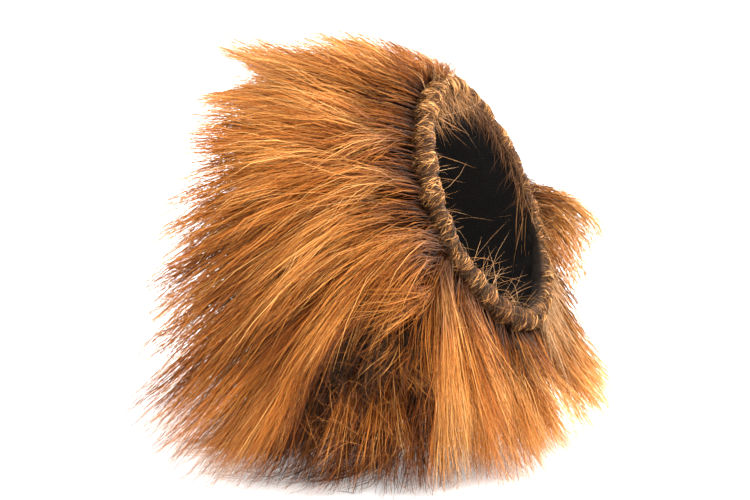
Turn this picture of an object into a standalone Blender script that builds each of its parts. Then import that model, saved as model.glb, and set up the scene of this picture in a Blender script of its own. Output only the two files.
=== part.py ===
"""A lion's mane wig for a small pet: a tapered tube of knit backing, with a rolled
and gathered hem round the face, a turned hem round the neck, and a deep fur pile
in rows of locks. It rests on its fur, with the face opening towards -Y.
Metres, +Z up."""

import math
import random

import bmesh
import bpy
from mathutils import Matrix, Vector

# Face opening, at the centreline of its rolled hem
FACE_HALF_HEIGHT = 0.0585
FACE_HALF_WIDTH = 0.050
FACE_LEAN = 23.5
FACE_CENTRE = (0.0, -0.052, 0.124)

# Rolled face hem: its own thickness, and the gathers that the elastic makes in it
HEM_RADIUS = 0.0070
HEM_GATHERS = 26
HEM_GATHER_DEPTH = 0.0009
HEM_STEPS = 78
HEM_SIDES = 6

# Backing tube, in sections from the face hem to the neck hem. "back" and "height" place
# the section's centre, "lean" tilts its plane back, in degrees.
TUBE_COLUMNS = ("back", "height", "lean", "half_width", "half_height")
TUBE_SECTIONS = (
    (-0.0434, 0.12025, 23.5, 0.0520, 0.0602),
    (-0.0310, 0.1160, 21.0, 0.0595, 0.0648),
    (-0.0130, 0.1090, 17.0, 0.0655, 0.0675),
    (0.0100, 0.1030, 12.0, 0.0690, 0.0680),
    (0.0360, 0.0990, 6.0, 0.0700, 0.0665),
)
CLOTH = 0.0020
TUBE_STEPS_ALONG = 5
TUBE_STEPS_ROUND = 39
PLEATS = 13
PLEAT_DEPTH = 0.0011
PLEATS_END = 0.6

# Turned hem at the neck
NECK_HEM_THICK = 0.0032
NECK_HEM_LONG = 0.0100

# Clear space between neighbouring pieces
GAP = 0.0003

# Fur mat that lies round the backing
MAT_THICK = 0.0060
MAT_STATIONS = (0.0, 0.97)
MAT_STEPS_ALONG = 3
MAT_STEPS_ROUND = 32

# Rows of locks from the face hem to the neck hem. "station" is where the row stands along
# the tube. The last three columns each hold a value for the top, the sides and the underside:
# the lock's length, the angle it leaves the mat at, in degrees, and how far it sags.
LOCK_COLUMNS = ("station", "count", "width", "thick", "lengths", "lifts", "sags")
LOCK_ROWS = (
    (0.05, 13, 0.0210, 0.0105, (0.060, 0.074, 0.060), (31.0, 62.0, 98.0), (0.45, 1.15, 0.30)),
    (0.28, 13, 0.0230, 0.0115, (0.065, 0.074, 0.064), (30.0, 56.0, 74.0), (0.45, 1.25, 0.30)),
    (0.51, 14, 0.0230, 0.0115, (0.067, 0.072, 0.067), (28.0, 51.0, 58.0), (0.42, 1.35, 0.30)),
    (0.75, 14, 0.0230, 0.0115, (0.064, 0.069, 0.070), (26.0, 45.0, 44.0), (0.40, 1.45, 0.30)),
    (0.93, 14, 0.0225, 0.0110, (0.060, 0.063, 0.070), (25.0, 38.0, 34.0), (0.40, 1.50, 0.30)),
)

# One lock's section along its length: how far along, and how much of its full size
LOCK_COLUMN_ALONG = (0.0, 0.30, 0.62, 0.86)
LOCK_COLUMN_SIZE = (0.85, 1.00, 0.86, 0.46)
LOCK_SIDES = 5
LOCK_STEPS = 24
LOCK_ROOT_SINK = 0.35
LOCK_UNEVEN = 0.16
LOCK_LIFT_UNEVEN = 7.0
LOCK_SIDEWAYS = 0.16
LOCK_ANGLE_UNEVEN = 0.06
LOCK_STATION_UNEVEN = 0.04
FLOOR_ROOM = -0.004
FLOOR_BEND = 0.020
SEED = 7

# How far the cutter of the bore runs on past the front and the rear of the tube
FRONT_CLEAR = 0.060
REAR_CLEAR = 0.045


def remove_everything():
    for item in list(bpy.data.objects):
        bpy.data.objects.remove(item)


def collection(name):
    made = bpy.data.collections.new(name)
    bpy.context.scene.collection.children.link(made)
    return made


def material(name, colour, roughness):
    made = bpy.data.materials.new(name)
    made.use_nodes = True
    shader = made.node_tree.nodes["Principled BSDF"]
    shader.inputs["Base Color"].default_value = (*colour, 1.0)
    shader.inputs["Roughness"].default_value = roughness
    shader.inputs["Metallic"].default_value = 0.0
    return made


def mesh_object(name, mesh_data, folder):
    """A bmesh made an object, with its faces turned outwards."""
    bmesh.ops.recalc_face_normals(mesh_data, faces=mesh_data.faces)
    mesh = bpy.data.meshes.new(name)
    mesh_data.to_mesh(mesh)
    mesh_data.free()
    made = bpy.data.objects.new(name, mesh)
    folder.objects.link(made)
    return made


def dress(item, finish, sharp_degrees=50):
    """Gives the object its one material, and smooth shading up to the given angle."""
    item.data.materials.clear()
    item.data.materials.append(finish)
    item.data.shade_smooth()
    item.data.set_sharp_from_angle(angle=math.radians(sharp_degrees))


def apply_modifiers(item):
    """Replaces the object's mesh with the one that its modifiers make."""
    graph = bpy.context.evaluated_depsgraph_get()
    made = bpy.data.meshes.new_from_object(item.evaluated_get(graph))
    item.modifiers.clear()
    item.data = made


def smooth_blend(values, position):
    """Catmull-Rom through evenly spaced values, at position 0 to 1."""
    spot = min(max(position, 0.0), 1.0) * (len(values) - 1)
    i = min(int(spot), len(values) - 2)
    t = spot - i
    before = values[i - 1] if i > 0 else 2 * values[i] - values[i + 1]
    after = values[i + 2] if i + 2 < len(values) else 2 * values[i + 1] - values[i]
    a, b = values[i], values[i + 1]
    return 0.5 * (2 * a + (b - before) * t + (2 * before - 5 * a + 4 * b - after) * t**2
                  + (3 * a - before - 3 * b + after) * t**3)


def tube_value(name, station):
    column = TUBE_COLUMNS.index(name)
    return smooth_blend([row[column] for row in TUBE_SECTIONS], station)


def tube_point(station, angle, outset=0.0):
    """A point of the backing's middle surface. Angle 0 is the top and 90 degrees is +X.
    Outset moves it outwards in the section's own plane."""
    lean = math.radians(tube_value("lean", station))
    up = Vector((0.0, math.sin(lean), math.cos(lean)))
    across = Vector((1.0, 0.0, 0.0))
    centre = Vector((0.0, tube_value("back", station), tube_value("height", station)))
    wide = tube_value("half_width", station) + outset
    high = tube_value("half_height", station) + outset
    return centre + across * wide * math.sin(angle) + up * high * math.cos(angle)


def pleat(station, angle):
    """Gathers that fan out from the face hem and die away part of the way back."""
    return PLEAT_DEPTH * max(0.0, 1.0 - station / PLEATS_END) * math.cos(PLEATS * angle)


def outward(station, angle):
    """Unit normal of the backing's outer side."""
    step = 0.01
    along = tube_point(min(station + step, 1.0), angle) - tube_point(max(station - step, 0.0), angle)
    around = tube_point(station, angle + step) - tube_point(station, angle - step)
    return around.cross(along).normalized()


def join_rings(mesh_data, rings, closed=False):
    """Quads between rings of the same number of vertices."""
    pairs = list(zip(rings, rings[1:]))
    if closed:
        pairs.append((rings[-1], rings[0]))
    for here, there in pairs:
        for j in range(len(here)):
            k = (j + 1) % len(here)
            mesh_data.faces.new((here[j], there[j], there[k], here[k]))


def tube_ring(mesh_data, station, outset, steps_round, with_pleats):
    ring = []
    for j in range(steps_round):
        angle = math.tau * j / steps_round
        ripple = pleat(station, angle) if with_pleats else 0.0
        ring.append(mesh_data.verts.new(tube_point(station, angle, outset + ripple)))
    return ring


def backing_tube(folder):
    """The black knit backing, one thickness of cloth."""
    shell = bmesh.new()
    stations = [i / TUBE_STEPS_ALONG for i in range(TUBE_STEPS_ALONG + 1)]
    join_rings(shell, [tube_ring(shell, s, 0.0, TUBE_STEPS_ROUND, True) for s in stations])
    item = mesh_object("backing_tube", shell, folder)
    thicken(item, CLOTH)
    return item


def thicken(item, thickness):
    wall = item.modifiers.new("cloth", "SOLIDIFY")
    wall.thickness = thickness
    wall.offset = 0.0
    wall.use_even_offset = True


def face_point(angle):
    """The centreline of the rolled face hem."""
    lean = math.radians(FACE_LEAN)
    up = Vector((0.0, math.sin(lean), math.cos(lean)))
    across = Vector((1.0, 0.0, 0.0))
    return (Vector(FACE_CENTRE) + across * FACE_HALF_WIDTH * math.sin(angle)
            + up * FACE_HALF_HEIGHT * math.cos(angle))


def face_hem(name, folder, swell=0.0):
    """The fur turned over the elastic and sewn down: a fat roll with gathers along it.
    Swell makes the plain roll that keeps its room free."""
    lean = math.radians(FACE_LEAN)
    forward = Vector((0.0, -math.cos(lean), math.sin(lean)))
    ring = bmesh.new()
    sections = []
    for j in range(HEM_STEPS):
        angle = math.tau * j / HEM_STEPS
        spot = face_point(angle)
        along = face_point(angle + 0.01) - face_point(angle - 0.01)
        out = forward.cross(along).normalized()
        gather = HEM_GATHER_DEPTH * math.cos(HEM_GATHERS * angle)
        radius = HEM_RADIUS + (swell if swell else gather)
        turns = [math.tau * i / HEM_SIDES for i in range(HEM_SIDES)]
        sections.append([ring.verts.new(spot + (out * math.cos(t) + forward * math.sin(t)) * radius)
                         for t in turns])
    join_rings(ring, sections, closed=True)
    return mesh_object(name, ring, folder)


def neck_hem(name, folder, swell=0.0):
    """The backing's rear edge turned back on itself: a flat band behind the tube."""
    half_thick = NECK_HEM_THICK / 2 + swell
    half_long = NECK_HEM_LONG / 2 + swell
    corner = NECK_HEM_THICK / 4
    outline = ((half_thick, corner - half_long), (half_thick, half_long - corner),
               (half_thick - corner, half_long), (-half_thick, half_long),
               (-half_thick, -half_long), (half_thick - corner, -half_long))
    ring = bmesh.new()
    sections = []
    for j in range(TUBE_STEPS_ROUND):
        angle = math.tau * j / TUBE_STEPS_ROUND
        edge = tube_point(1.0, angle)
        back = (edge - tube_point(0.97, angle)).normalized()
        out = outward(1.0, angle)
        middle = edge + back * (GAP + NECK_HEM_LONG / 2)
        sections.append([ring.verts.new(middle + out * a + back * b) for a, b in outline])
    join_rings(ring, sections, closed=True)
    return mesh_object(name, ring, folder)


def lock_path(root, start, length, sag):
    """The middle line of a lock: it leaves along start, bends down with its weight, and
    comes down to lie along the floor. Returns points and directions."""
    spot, way = root.copy(), start.normalized()
    step = length / LOCK_STEPS
    points, ways = [spot.copy()], [way.copy()]
    for i in range(LOCK_STEPS):
        way.z -= sag / LOCK_STEPS * (0.4 + 1.2 * i / LOCK_STEPS)
        way.normalize()
        steepest = max(0.0, min(1.0, (spot.z - FLOOR_ROOM) / FLOOR_BEND))
        if way.z < -steepest:
            way.z = -steepest
            level = max(math.hypot(way.x, way.y), 1e-6)
            share = math.sqrt(1 - way.z**2) / level
            way.x *= share
            way.y *= share
        spot = spot + way * step
        points.append(spot.copy())
        ways.append(way.copy())
    return points, ways


def round_blend(values, angle):
    """A value for the top, the sides and the underside, blended round the tube."""
    top, side, under = values
    upright = math.cos(angle)
    return side + (top - side) * max(0.0, upright) + (under - side) * max(0.0, -upright)


def add_lock(mesh_data, row, angle, station, rng):
    """One lock, lofted through flat ovals that narrow to a point."""
    length = round_blend(row["lengths"], angle) * (1 + LOCK_UNEVEN * rng.uniform(-1, 1))
    width = row["width"] * (1 + LOCK_UNEVEN * rng.uniform(-1, 1))
    thick = row["thick"] * (1 + LOCK_UNEVEN * rng.uniform(-1, 1))
    lift = math.radians(round_blend(row["lifts"], angle) + LOCK_LIFT_UNEVEN * rng.uniform(-1, 1))
    sideways = LOCK_SIDEWAYS * rng.uniform(-1, 1)
    normal = outward(station, angle)
    ahead = tube_point(min(station + 0.02, 1.0), angle) - tube_point(max(station - 0.02, 0.0), angle)
    ahead.normalize()
    around = normal.cross(ahead)
    start = ahead * math.cos(lift) + normal * math.sin(lift) + around * sideways
    root = tube_point(station, angle, CLOTH / 2 + GAP + MAT_THICK * LOCK_ROOT_SINK)
    points, ways = lock_path(root, start, length, round_blend(row["sags"], angle))
    rings = []
    for share, size in zip(LOCK_COLUMN_ALONG, LOCK_COLUMN_SIZE):
        i = round(share * LOCK_STEPS)
        side = (around - ways[i] * around.dot(ways[i])).normalized()
        top = side.cross(ways[i]).normalized()
        ring = []
        for k in range(LOCK_SIDES):
            turn = math.tau * (k + 0.5) / LOCK_SIDES
            reach = side * (width * size * math.cos(turn)) + top * (thick * size * math.sin(turn))
            ring.append(mesh_data.verts.new(points[i] + reach))
        rings.append(ring)
    tip = mesh_data.verts.new(points[-1])
    mesh_data.faces.new(rings[0][::-1])
    join_rings(mesh_data, rings)
    for k in range(LOCK_SIDES):
        mesh_data.faces.new((rings[-1][k], rings[-1][(k + 1) % LOCK_SIDES], tip))


def lock_rows(folder):
    """Every lock as a closed body of its own, row by row, staggered like shingles."""
    rng = random.Random(SEED)
    locks = []
    for number, values in enumerate(LOCK_ROWS):
        row = dict(zip(LOCK_COLUMNS, values))
        for k in range(row["count"]):
            mesh_data = bmesh.new()
            shift = 0.5 * (number % 2)
            angle = math.tau * (k + shift) / row["count"] + LOCK_ANGLE_UNEVEN * rng.uniform(-1, 1)
            station = row["station"] + LOCK_STATION_UNEVEN * rng.uniform(-1, 1)
            add_lock(mesh_data, row, angle, station, rng)
            locks.append(mesh_object(f"lock_{number}_{k}", mesh_data, folder))
    return locks


def bore_plug(folder):
    """The backing and all inside it as one solid, run on past both ends of the tube."""
    plug = bmesh.new()
    stations = [i / TUBE_STEPS_ALONG for i in range(TUBE_STEPS_ALONG + 1)]
    rings = [tube_ring(plug, s, CLOTH / 2 + 2 * GAP, TUBE_STEPS_ROUND, True) for s in stations]
    for at_front, reach in ((True, -FRONT_CLEAR), (False, REAR_CLEAR)):
        lean = math.radians(tube_value("lean", 0.0 if at_front else 1.0))
        push = Vector((0.0, math.cos(lean), -math.sin(lean))) * reach
        edge = rings[0] if at_front else rings[-1]
        far = [plug.verts.new(v.co + push) for v in edge]
        plug.faces.new(far)
        rings.insert(0 if at_front else len(rings), far)
    join_rings(plug, rings)
    return mesh_object("bore_plug", plug, folder)


def floor_block(folder):
    """What lies under the floor, to take off the fur that would sink into it."""
    block = bmesh.new()
    bmesh.ops.create_cube(block, size=1.0, matrix=Matrix.Translation((0.0, 0.0, -0.5)))
    return mesh_object("floor_block", block, folder)


def cut(item, cutter, solver="EXACT"):
    cutter.hide_render = True
    cutter.display_type = "WIRE"
    step = item.modifiers.new(cutter.name, "BOOLEAN")
    step.operation = "DIFFERENCE"
    step.object = cutter
    step.solver = solver


def keep_main_body(item):
    """Drops the small bodies that the cuts left: hollows closed in between locks, which
    are then solid, and crumbs that hang on nothing."""
    mesh_data = bmesh.new()
    mesh_data.from_mesh(item.data)
    waiting = set(mesh_data.verts)
    bodies = []
    while waiting:
        edge_of_body = [waiting.pop()]
        body = set(edge_of_body)
        while edge_of_body:
            vert = edge_of_body.pop()
            near = {link.other_vert(vert) for link in vert.link_edges} & waiting
            waiting -= near
            body |= near
            edge_of_body.extend(near)
        bodies.append(body)
    bodies.sort(key=len)
    for body in bodies[:-1]:
        bmesh.ops.delete(mesh_data, geom=list(body), context="VERTS")
    mesh_data.to_mesh(item.data)
    mesh_data.free()


def fur_pile(folder, cutters):
    """The fur mat round the backing with the locks fused to it, bored for the tube and
    both hems, and flat where it rests."""
    first, last = MAT_STATIONS
    shell = bmesh.new()
    stations = [first + (last - first) * i / MAT_STEPS_ALONG for i in range(MAT_STEPS_ALONG + 1)]
    middle = CLOTH / 2 + GAP + MAT_THICK / 2
    join_rings(shell, [tube_ring(shell, s, middle, MAT_STEPS_ROUND, False) for s in stations])
    mat = mesh_object("fur_pile", shell, folder)
    thicken(mat, MAT_THICK)
    loose = bpy.data.collections.new("loose_locks")
    cutters.children.link(loose)
    locks = lock_rows(loose)
    union = mat.modifiers.new("locks", "BOOLEAN")
    union.operation = "UNION"
    union.operand_type = "COLLECTION"
    union.collection = loose
    union.solver = "EXACT"
    union.use_self = True
    apply_modifiers(mat)
    for lock in locks:
        bpy.data.objects.remove(lock)
    bpy.data.collections.remove(loose)
    cut(mat, bore_plug(cutters), solver="MANIFOLD")
    cut(mat, face_hem("face_hem_room", cutters, HEM_GATHER_DEPTH + GAP))
    cut(mat, neck_hem("neck_hem_room", cutters, GAP))
    cut(mat, floor_block(cutters))
    apply_modifiers(mat)
    keep_main_body(mat)
    return mat


def main():
    remove_everything()
    parts = collection("lion_mane_wig")
    cutters = collection("cutters")
    tube = backing_tube(parts)
    hem = face_hem("face_hem", parts)
    rear = neck_hem("neck_hem", parts)
    fur = fur_pile(parts, cutters)
    dress(tube, material("black_knit", (0.012, 0.010, 0.009), 0.95))
    dress(hem, material("rolled_fur", (0.28, 0.15, 0.07), 0.85))
    dress(rear, material("black_tape", (0.015, 0.013, 0.012), 0.90))
    dress(fur, material("ginger_pile", (0.52, 0.24, 0.08), 0.80))


main()
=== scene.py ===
# Looks for a small pet's lion mane wig: deep ginger pile, a rolled face hem and a knit backing.
import math

import bpy
import numpy as np
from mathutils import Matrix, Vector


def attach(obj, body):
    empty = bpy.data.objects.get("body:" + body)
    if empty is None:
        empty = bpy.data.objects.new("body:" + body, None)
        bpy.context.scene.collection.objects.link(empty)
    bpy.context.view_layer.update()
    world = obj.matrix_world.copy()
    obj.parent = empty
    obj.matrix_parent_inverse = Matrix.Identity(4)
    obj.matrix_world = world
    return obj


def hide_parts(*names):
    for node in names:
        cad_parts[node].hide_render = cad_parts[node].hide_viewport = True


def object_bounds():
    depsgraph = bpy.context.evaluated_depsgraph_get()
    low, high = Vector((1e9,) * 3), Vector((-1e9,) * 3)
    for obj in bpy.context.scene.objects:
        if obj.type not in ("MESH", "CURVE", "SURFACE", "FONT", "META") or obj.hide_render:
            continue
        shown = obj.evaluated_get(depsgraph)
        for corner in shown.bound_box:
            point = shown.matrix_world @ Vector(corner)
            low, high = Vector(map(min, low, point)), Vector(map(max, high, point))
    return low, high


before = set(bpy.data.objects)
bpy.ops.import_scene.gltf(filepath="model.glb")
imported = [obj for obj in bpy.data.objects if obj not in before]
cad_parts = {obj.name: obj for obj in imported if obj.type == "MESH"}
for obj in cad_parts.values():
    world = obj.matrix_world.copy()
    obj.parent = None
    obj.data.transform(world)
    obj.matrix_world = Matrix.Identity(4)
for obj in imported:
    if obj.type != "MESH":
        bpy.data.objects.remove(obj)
solidsBox = [[float(value) for value in corner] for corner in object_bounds()]
dice = np.random.default_rng(41)

# camera: the photo's angle. pixelsPerMetre is the photo's scale at the target, and the line of
# sight to the floor is drawn from floorFrom metres on, over floorOver metres
camera = {
    "target": (0.0191, 0.0131, 0.0907),
    "azimuth": -68.0,
    "elevation": 14.0,
    "distance": 1.1,
    "pixelsPerMetre": 2000.0,
    "imageSize": (750, 500),
    "sensor": 36.0,
    "floorFrom": 1.0,
    "floorOver": 0.2,
}

# the knit tube, in sections from the face hem to the neck hem
tube = {
    "back": (-0.0434, -0.0310, -0.0130, 0.0100, 0.0360),
    "height": (0.12025, 0.1160, 0.1090, 0.1030, 0.0990),
    "lean": (23.5, 21.0, 17.0, 12.0, 6.0),
    "halfWidth": (0.0520, 0.0595, 0.0655, 0.0690, 0.0700),
    "halfHeight": (0.0602, 0.0648, 0.0675, 0.0680, 0.0665),
    "cloth": 0.0016,
    "bow": 0.0050,
    "bowEnd": 0.40,
}


def unit(vectors):
    # each vector divided by its own length
    return vectors / np.maximum(np.linalg.norm(vectors, axis=-1, keepdims=True), 1e-9)


def cameraAxes():
    # right, up and back of a camera turned by azimuth about Z and raised by elevation
    azimuth, elevation = math.radians(camera["azimuth"]), math.radians(camera["elevation"])
    back = np.array((math.sin(azimuth) * math.cos(elevation), -math.cos(azimuth) * math.cos(elevation),
                     math.sin(elevation)))
    right = np.array((math.cos(azimuth), math.sin(azimuth), 0.0))
    return right, np.cross(back, right), back


def toPixels(points):
    # perspective division by the distance in front of the camera; also returns that distance
    right, up, back = cameraAxes()
    reach = points - np.array(camera["target"])
    depth = camera["distance"] - reach @ back
    scale = camera["pixelsPerMetre"] * camera["distance"] / depth
    across, down = camera["imageSize"]
    return across / 2 + scale * (reach @ right), down / 2 - scale * (reach @ up), depth


def fromPixels(x, y, depth):
    # the point that shows at a pixel, at a given distance in front of the camera
    right, up, back = cameraAxes()
    scale = camera["pixelsPerMetre"] * camera["distance"] / depth
    across, down = camera["imageSize"]
    return (np.array(camera["target"]) + right * ((x - across / 2) / scale)[..., None]
            + up * ((down / 2 - y) / scale)[..., None] + back * (camera["distance"] - depth)[..., None])


def tubeValue(name, station):
    # Catmull-Rom through the sections' values; past either end it goes on in a straight line
    values = np.array(tube[name])
    last = len(values) - 1
    padded = np.concatenate(([2 * values[0] - values[1]], values, [2 * values[-1] - values[-2]]))
    spot = np.clip(station, 0.0, 1.0) * last
    i = np.minimum(spot.astype(int), last - 1)
    t = spot - i
    before, a, b, after = padded[i], padded[i + 1], padded[i + 2], padded[i + 3]
    curve = 0.5 * (2 * a + (b - before) * t + (2 * before - 5 * a + 4 * b - after) * t**2
                   + (3 * a - before - 3 * b + after) * t**3)
    past = np.where(station > 1.0, (station - 1.0) * (values[-1] - values[-2]) * last,
                    np.minimum(station, 0.0) * (values[1] - values[0]) * last)
    return curve + past


def nearBow(station, angle):
    # how far the near side of the face opening sags to the rear: bow*max(0, -sin(angle))^1.5,
    # dying away along the tube
    fade = np.clip(1 - station / tube["bowEnd"], 0, 1.3)
    return tube["bow"] * np.maximum(0.0, -np.sin(angle))**1.5 * fade


def tubePoint(station, angle, outset=0.0):
    # an ellipse across the tube, leaning back: centre + across*(halfWidth+outset)*sin(angle)
    # + up*(halfHeight+outset)*cos(angle). Angle 0 is the top, and a quarter turn is +X
    station, angle = np.broadcast_arrays(np.asarray(station, float), np.asarray(angle, float))
    lean = np.radians(tubeValue("lean", station))
    wide = (tubeValue("halfWidth", station) + outset) * np.sin(angle)
    high = (tubeValue("halfHeight", station) + outset) * np.cos(angle)
    back = tubeValue("back", station) + nearBow(station, angle)
    height = tubeValue("height", station)
    return np.stack((wide, back + high * np.sin(lean), height + high * np.cos(lean)), axis=-1)


def tubeFrame(station, angle):
    # unit vectors along the tube to the rear, out of it, and round it, from small differences
    step = 0.01
    ahead = unit(tubePoint(station + step, angle) - tubePoint(station - step, angle))
    around = unit(tubePoint(station, angle + step) - tubePoint(station, angle - step))
    outward = unit(np.cross(around, ahead))
    return ahead, outward, np.cross(outward, ahead)


def newPiece(name, vertices, faces, material):
    # rows of vertex places and rows of vertex numbers, all faces alike, put in as whole arrays
    mesh = bpy.data.meshes.new(name)
    corners = faces.shape[1]
    mesh.vertices.add(len(vertices))
    mesh.vertices.foreach_set("co", np.asarray(vertices, np.float32).ravel())
    mesh.loops.add(faces.size)
    mesh.loops.foreach_set("vertex_index", faces.astype(np.int32).ravel())
    mesh.polygons.add(len(faces))
    mesh.polygons.foreach_set("loop_start", np.arange(0, faces.size, corners, dtype=np.int32))
    mesh.polygons.foreach_set("use_smooth", np.ones(len(faces), bool))
    mesh.update(calc_edges=True)
    mesh.materials.append(material)
    piece = bpy.data.objects.new(name, mesh)
    bpy.context.scene.collection.objects.link(piece)
    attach(piece, "root")
    return piece


def gridFaces(rows, columns, closedRows=False):
    # quads between neighbours of a grid of rows x columns vertices, closed along its rows
    i = np.arange(rows if closedRows else rows - 1)[:, None]
    j = np.arange(columns)[None, :]
    nextRow, nextColumn = (i + 1) % rows, (j + 1) % columns
    quad = (i * columns + j, nextRow * columns + j,
            nextRow * columns + nextColumn, i * columns + nextColumn)
    return np.stack([np.broadcast_to(corner, (len(i), columns)).ravel() for corner in quad], axis=1)


def ringGrid(rows, columns):
    # the angle round a ring and the turn round its section, for each vertex of a closed grid
    angle = (math.tau * np.arange(rows) / rows)[:, None] + np.zeros((rows, columns))
    turn = (math.tau * np.arange(columns) / columns)[None, :] + np.zeros((rows, columns))
    return angle, turn


def mapGrid(piece, name, u, v, faces, joined=False):
    # a UV map from two values for each vertex of a grid. Where it is joined, u goes on past 1 in
    # the faces that close the round
    uv = np.stack((u, v), axis=-1).reshape(-1, 2)[faces]
    if joined:
        uv[..., 0] += uv[..., 0] < uv[..., 0].max(1, keepdims=True) - 0.5
    piece.data.uv_layers.new(name=name).data.foreach_set("uv", uv.astype(np.float32).ravel())


def tableColumns(names, rows):
    # a table's rows turned into one array for each named column
    return {name: np.array(column, float) for name, column in zip(names, zip(*rows))}


# one hair's section along its length: where, and how thick against its full width
hairShape = {
    "along": (0.0, 0.12, 0.32, 0.55, 0.78, 1.0),
    "swell": (0.75, 1.00, 1.00, 0.88, 0.62),
}
hairSteps = np.array(hairShape["along"])[None, :, None]


def hairMesh(name, paths, widths, tone, material):
    # three-sided rods round the paths (hairs x points x 3), closed at the root, drawn to a
    # point at the tip. The UV map holds the hair's own random number and the place along it
    hairs, points = paths.shape[:2]
    even = np.linspace(0, 1, len(hairShape["along"]))
    along = np.interp(np.linspace(0, 1, points), even, hairShape["along"])
    swell = np.interp(along[:-1], hairShape["along"][:-1], hairShape["swell"])
    tangent = unit(np.gradient(paths, axis=1))
    chance = unit(dice.normal(size=(hairs, 1, 3)))
    side = unit(np.cross(tangent, chance))
    other = np.cross(tangent, side)
    turn = np.arange(3) * math.tau / 3
    radius = 0.5 * widths[:, None, None, None] * swell[None, :, None, None]
    ring = (side[:, :-1, None] * np.cos(turn)[None, None, :, None]
            + other[:, :-1, None] * np.sin(turn)[None, None, :, None])
    rods = (paths[:, :-1, None] + ring * radius).reshape(hairs, -1, 3)
    vertices = np.concatenate((rods, paths[:, -1:]), axis=1)
    perHair = vertices.shape[1]
    faces = [(0, 2, 1)]
    for row in range(points - 2):
        for k in range(3):
            a, b = row * 3 + k, row * 3 + (k + 1) % 3
            faces += [(a, b, b + 3), (a, b + 3, a + 3)]
    base = (points - 2) * 3
    faces += [(base + k, base + (k + 1) % 3, perHair - 1) for k in range(3)]
    faces = np.array(faces)
    allFaces = (faces[None] + (np.arange(hairs) * perHair)[:, None, None]).reshape(-1, 3)
    piece = newPiece(name, vertices.reshape(-1, 3), allFaces, material)
    place = np.concatenate((np.repeat(along[:-1], 3), along[-1:]))
    uv = np.empty((hairs, len(faces), 3, 2), np.float32)
    uv[..., 0] = dice.random((hairs, 1, 1))
    uv[..., 1] = place[faces][None]
    piece.data.uv_layers.new(name="hair").data.foreach_set("uv", uv.ravel())
    lock = piece.data.attributes.new("lock", "FLOAT", "POINT")
    lock.data.foreach_set("value", np.repeat(tone, perHair).astype(np.float32))
    return piece


def fewerPoints(paths, points):
    # the same paths through fewer points, evenly spaced by their number along the path
    place = np.linspace(0, paths.shape[1] - 1, points)
    whole = np.minimum(place.astype(int), paths.shape[1] - 2)
    part = (place - whole)[None, :, None]
    return paths[:, whole] * (1 - part) + paths[:, whole + 1] * part


# the near side's locks, each traced in the photo's pixels: its root on the tube, its middle
# and its tip. "bulge" is how far the middle stands towards the camera, in metres, "floor" is 1
# where the tip lies on the floor, and "clump" is how tightly its hairs draw together
tracedColumns = ("rootX", "rootY", "middleX", "middleY", "tipX", "tipY", "bulge", "floor", "clump")
tracedLocks = (
    (432, 92, 398, 56, 346, 30, 0.006, 0, 0.55),
    (402, 95, 352, 68, 300, 61, 0.008, 0, 0.60),
    (370, 99, 316, 78, 262, 66, 0.010, 0, 0.60),
    (334, 104, 282, 66, 222, 32, 0.010, 0, 0.85),
    (298, 112, 250, 90, 198, 98, 0.010, 0, 0.70),
    (274, 124, 234, 110, 192, 114, 0.010, 0, 0.60),
    (420, 132, 352, 112, 288, 104, 0.012, 0, 0.55),
    (384, 138, 318, 114, 252, 108, 0.014, 0, 0.70),
    (344, 142, 282, 124, 214, 120, 0.014, 0, 0.75),
    (304, 148, 248, 138, 196, 142, 0.012, 0, 0.55),
    (272, 156, 228, 156, 180, 166, 0.010, 0, 0.60),
    (416, 172, 350, 152, 284, 160, 0.014, 0, 0.60),
    (382, 176, 318, 166, 256, 186, 0.014, 0, 0.60),
    (342, 180, 286, 182, 226, 212, 0.014, 0, 0.70),
    (302, 184, 246, 198, 178, 238, 0.012, 0, 0.50),
    (268, 190, 212, 212, 144, 256, 0.010, 0, 0.60),
    (424, 212, 362, 198, 300, 226, 0.016, 0, 0.70),
    (386, 216, 330, 218, 274, 262, 0.016, 0, 0.60),
    (344, 220, 294, 242, 240, 290, 0.014, 0, 0.65),
    (304, 226, 246, 264, 172, 322, 0.012, 0, 0.50),
    (268, 232, 208, 272, 130, 344, 0.010, 0, 0.60),
    (440, 248, 384, 252, 330, 300, 0.018, 0, 0.75),
    (396, 256, 346, 282, 300, 336, 0.016, 0, 0.65),
    (352, 262, 306, 304, 256, 366, 0.014, 0, 0.60),
    (310, 266, 252, 322, 174, 396, 0.012, 0, 0.50),
    (270, 272, 212, 332, 138, 408, 0.010, 0, 0.60),
    (440, 262, 452, 366, 456, 488, 0.024, 1, 0.70),
    (430, 284, 386, 284, 334, 330, 0.024, 0, 0.80),
    (384, 300, 336, 340, 316, 424, 0.014, 0, 0.70),
    (340, 306, 298, 370, 250, 446, 0.012, 0, 0.60),
    (302, 310, 246, 376, 190, 450, 0.010, 0, 0.50),
    (272, 314, 214, 382, 144, 440, 0.010, 0, 0.50),
    (460, 294, 494, 372, 538, 438, 0.018, 0, 0.75),
    (478, 318, 490, 396, 492, 472, 0.014, 1, 0.60),
    (436, 340, 424, 412, 430, 490, 0.014, 1, 0.60),
    (392, 346, 384, 416, 372, 490, 0.010, 1, 0.55),
    (352, 350, 318, 414, 284, 484, 0.010, 1, 0.55),
    (312, 352, 268, 416, 234, 474, 0.010, 1, 0.55),
    (278, 350, 242, 412, 200, 448, 0.010, 0, 0.55),
)

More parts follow.
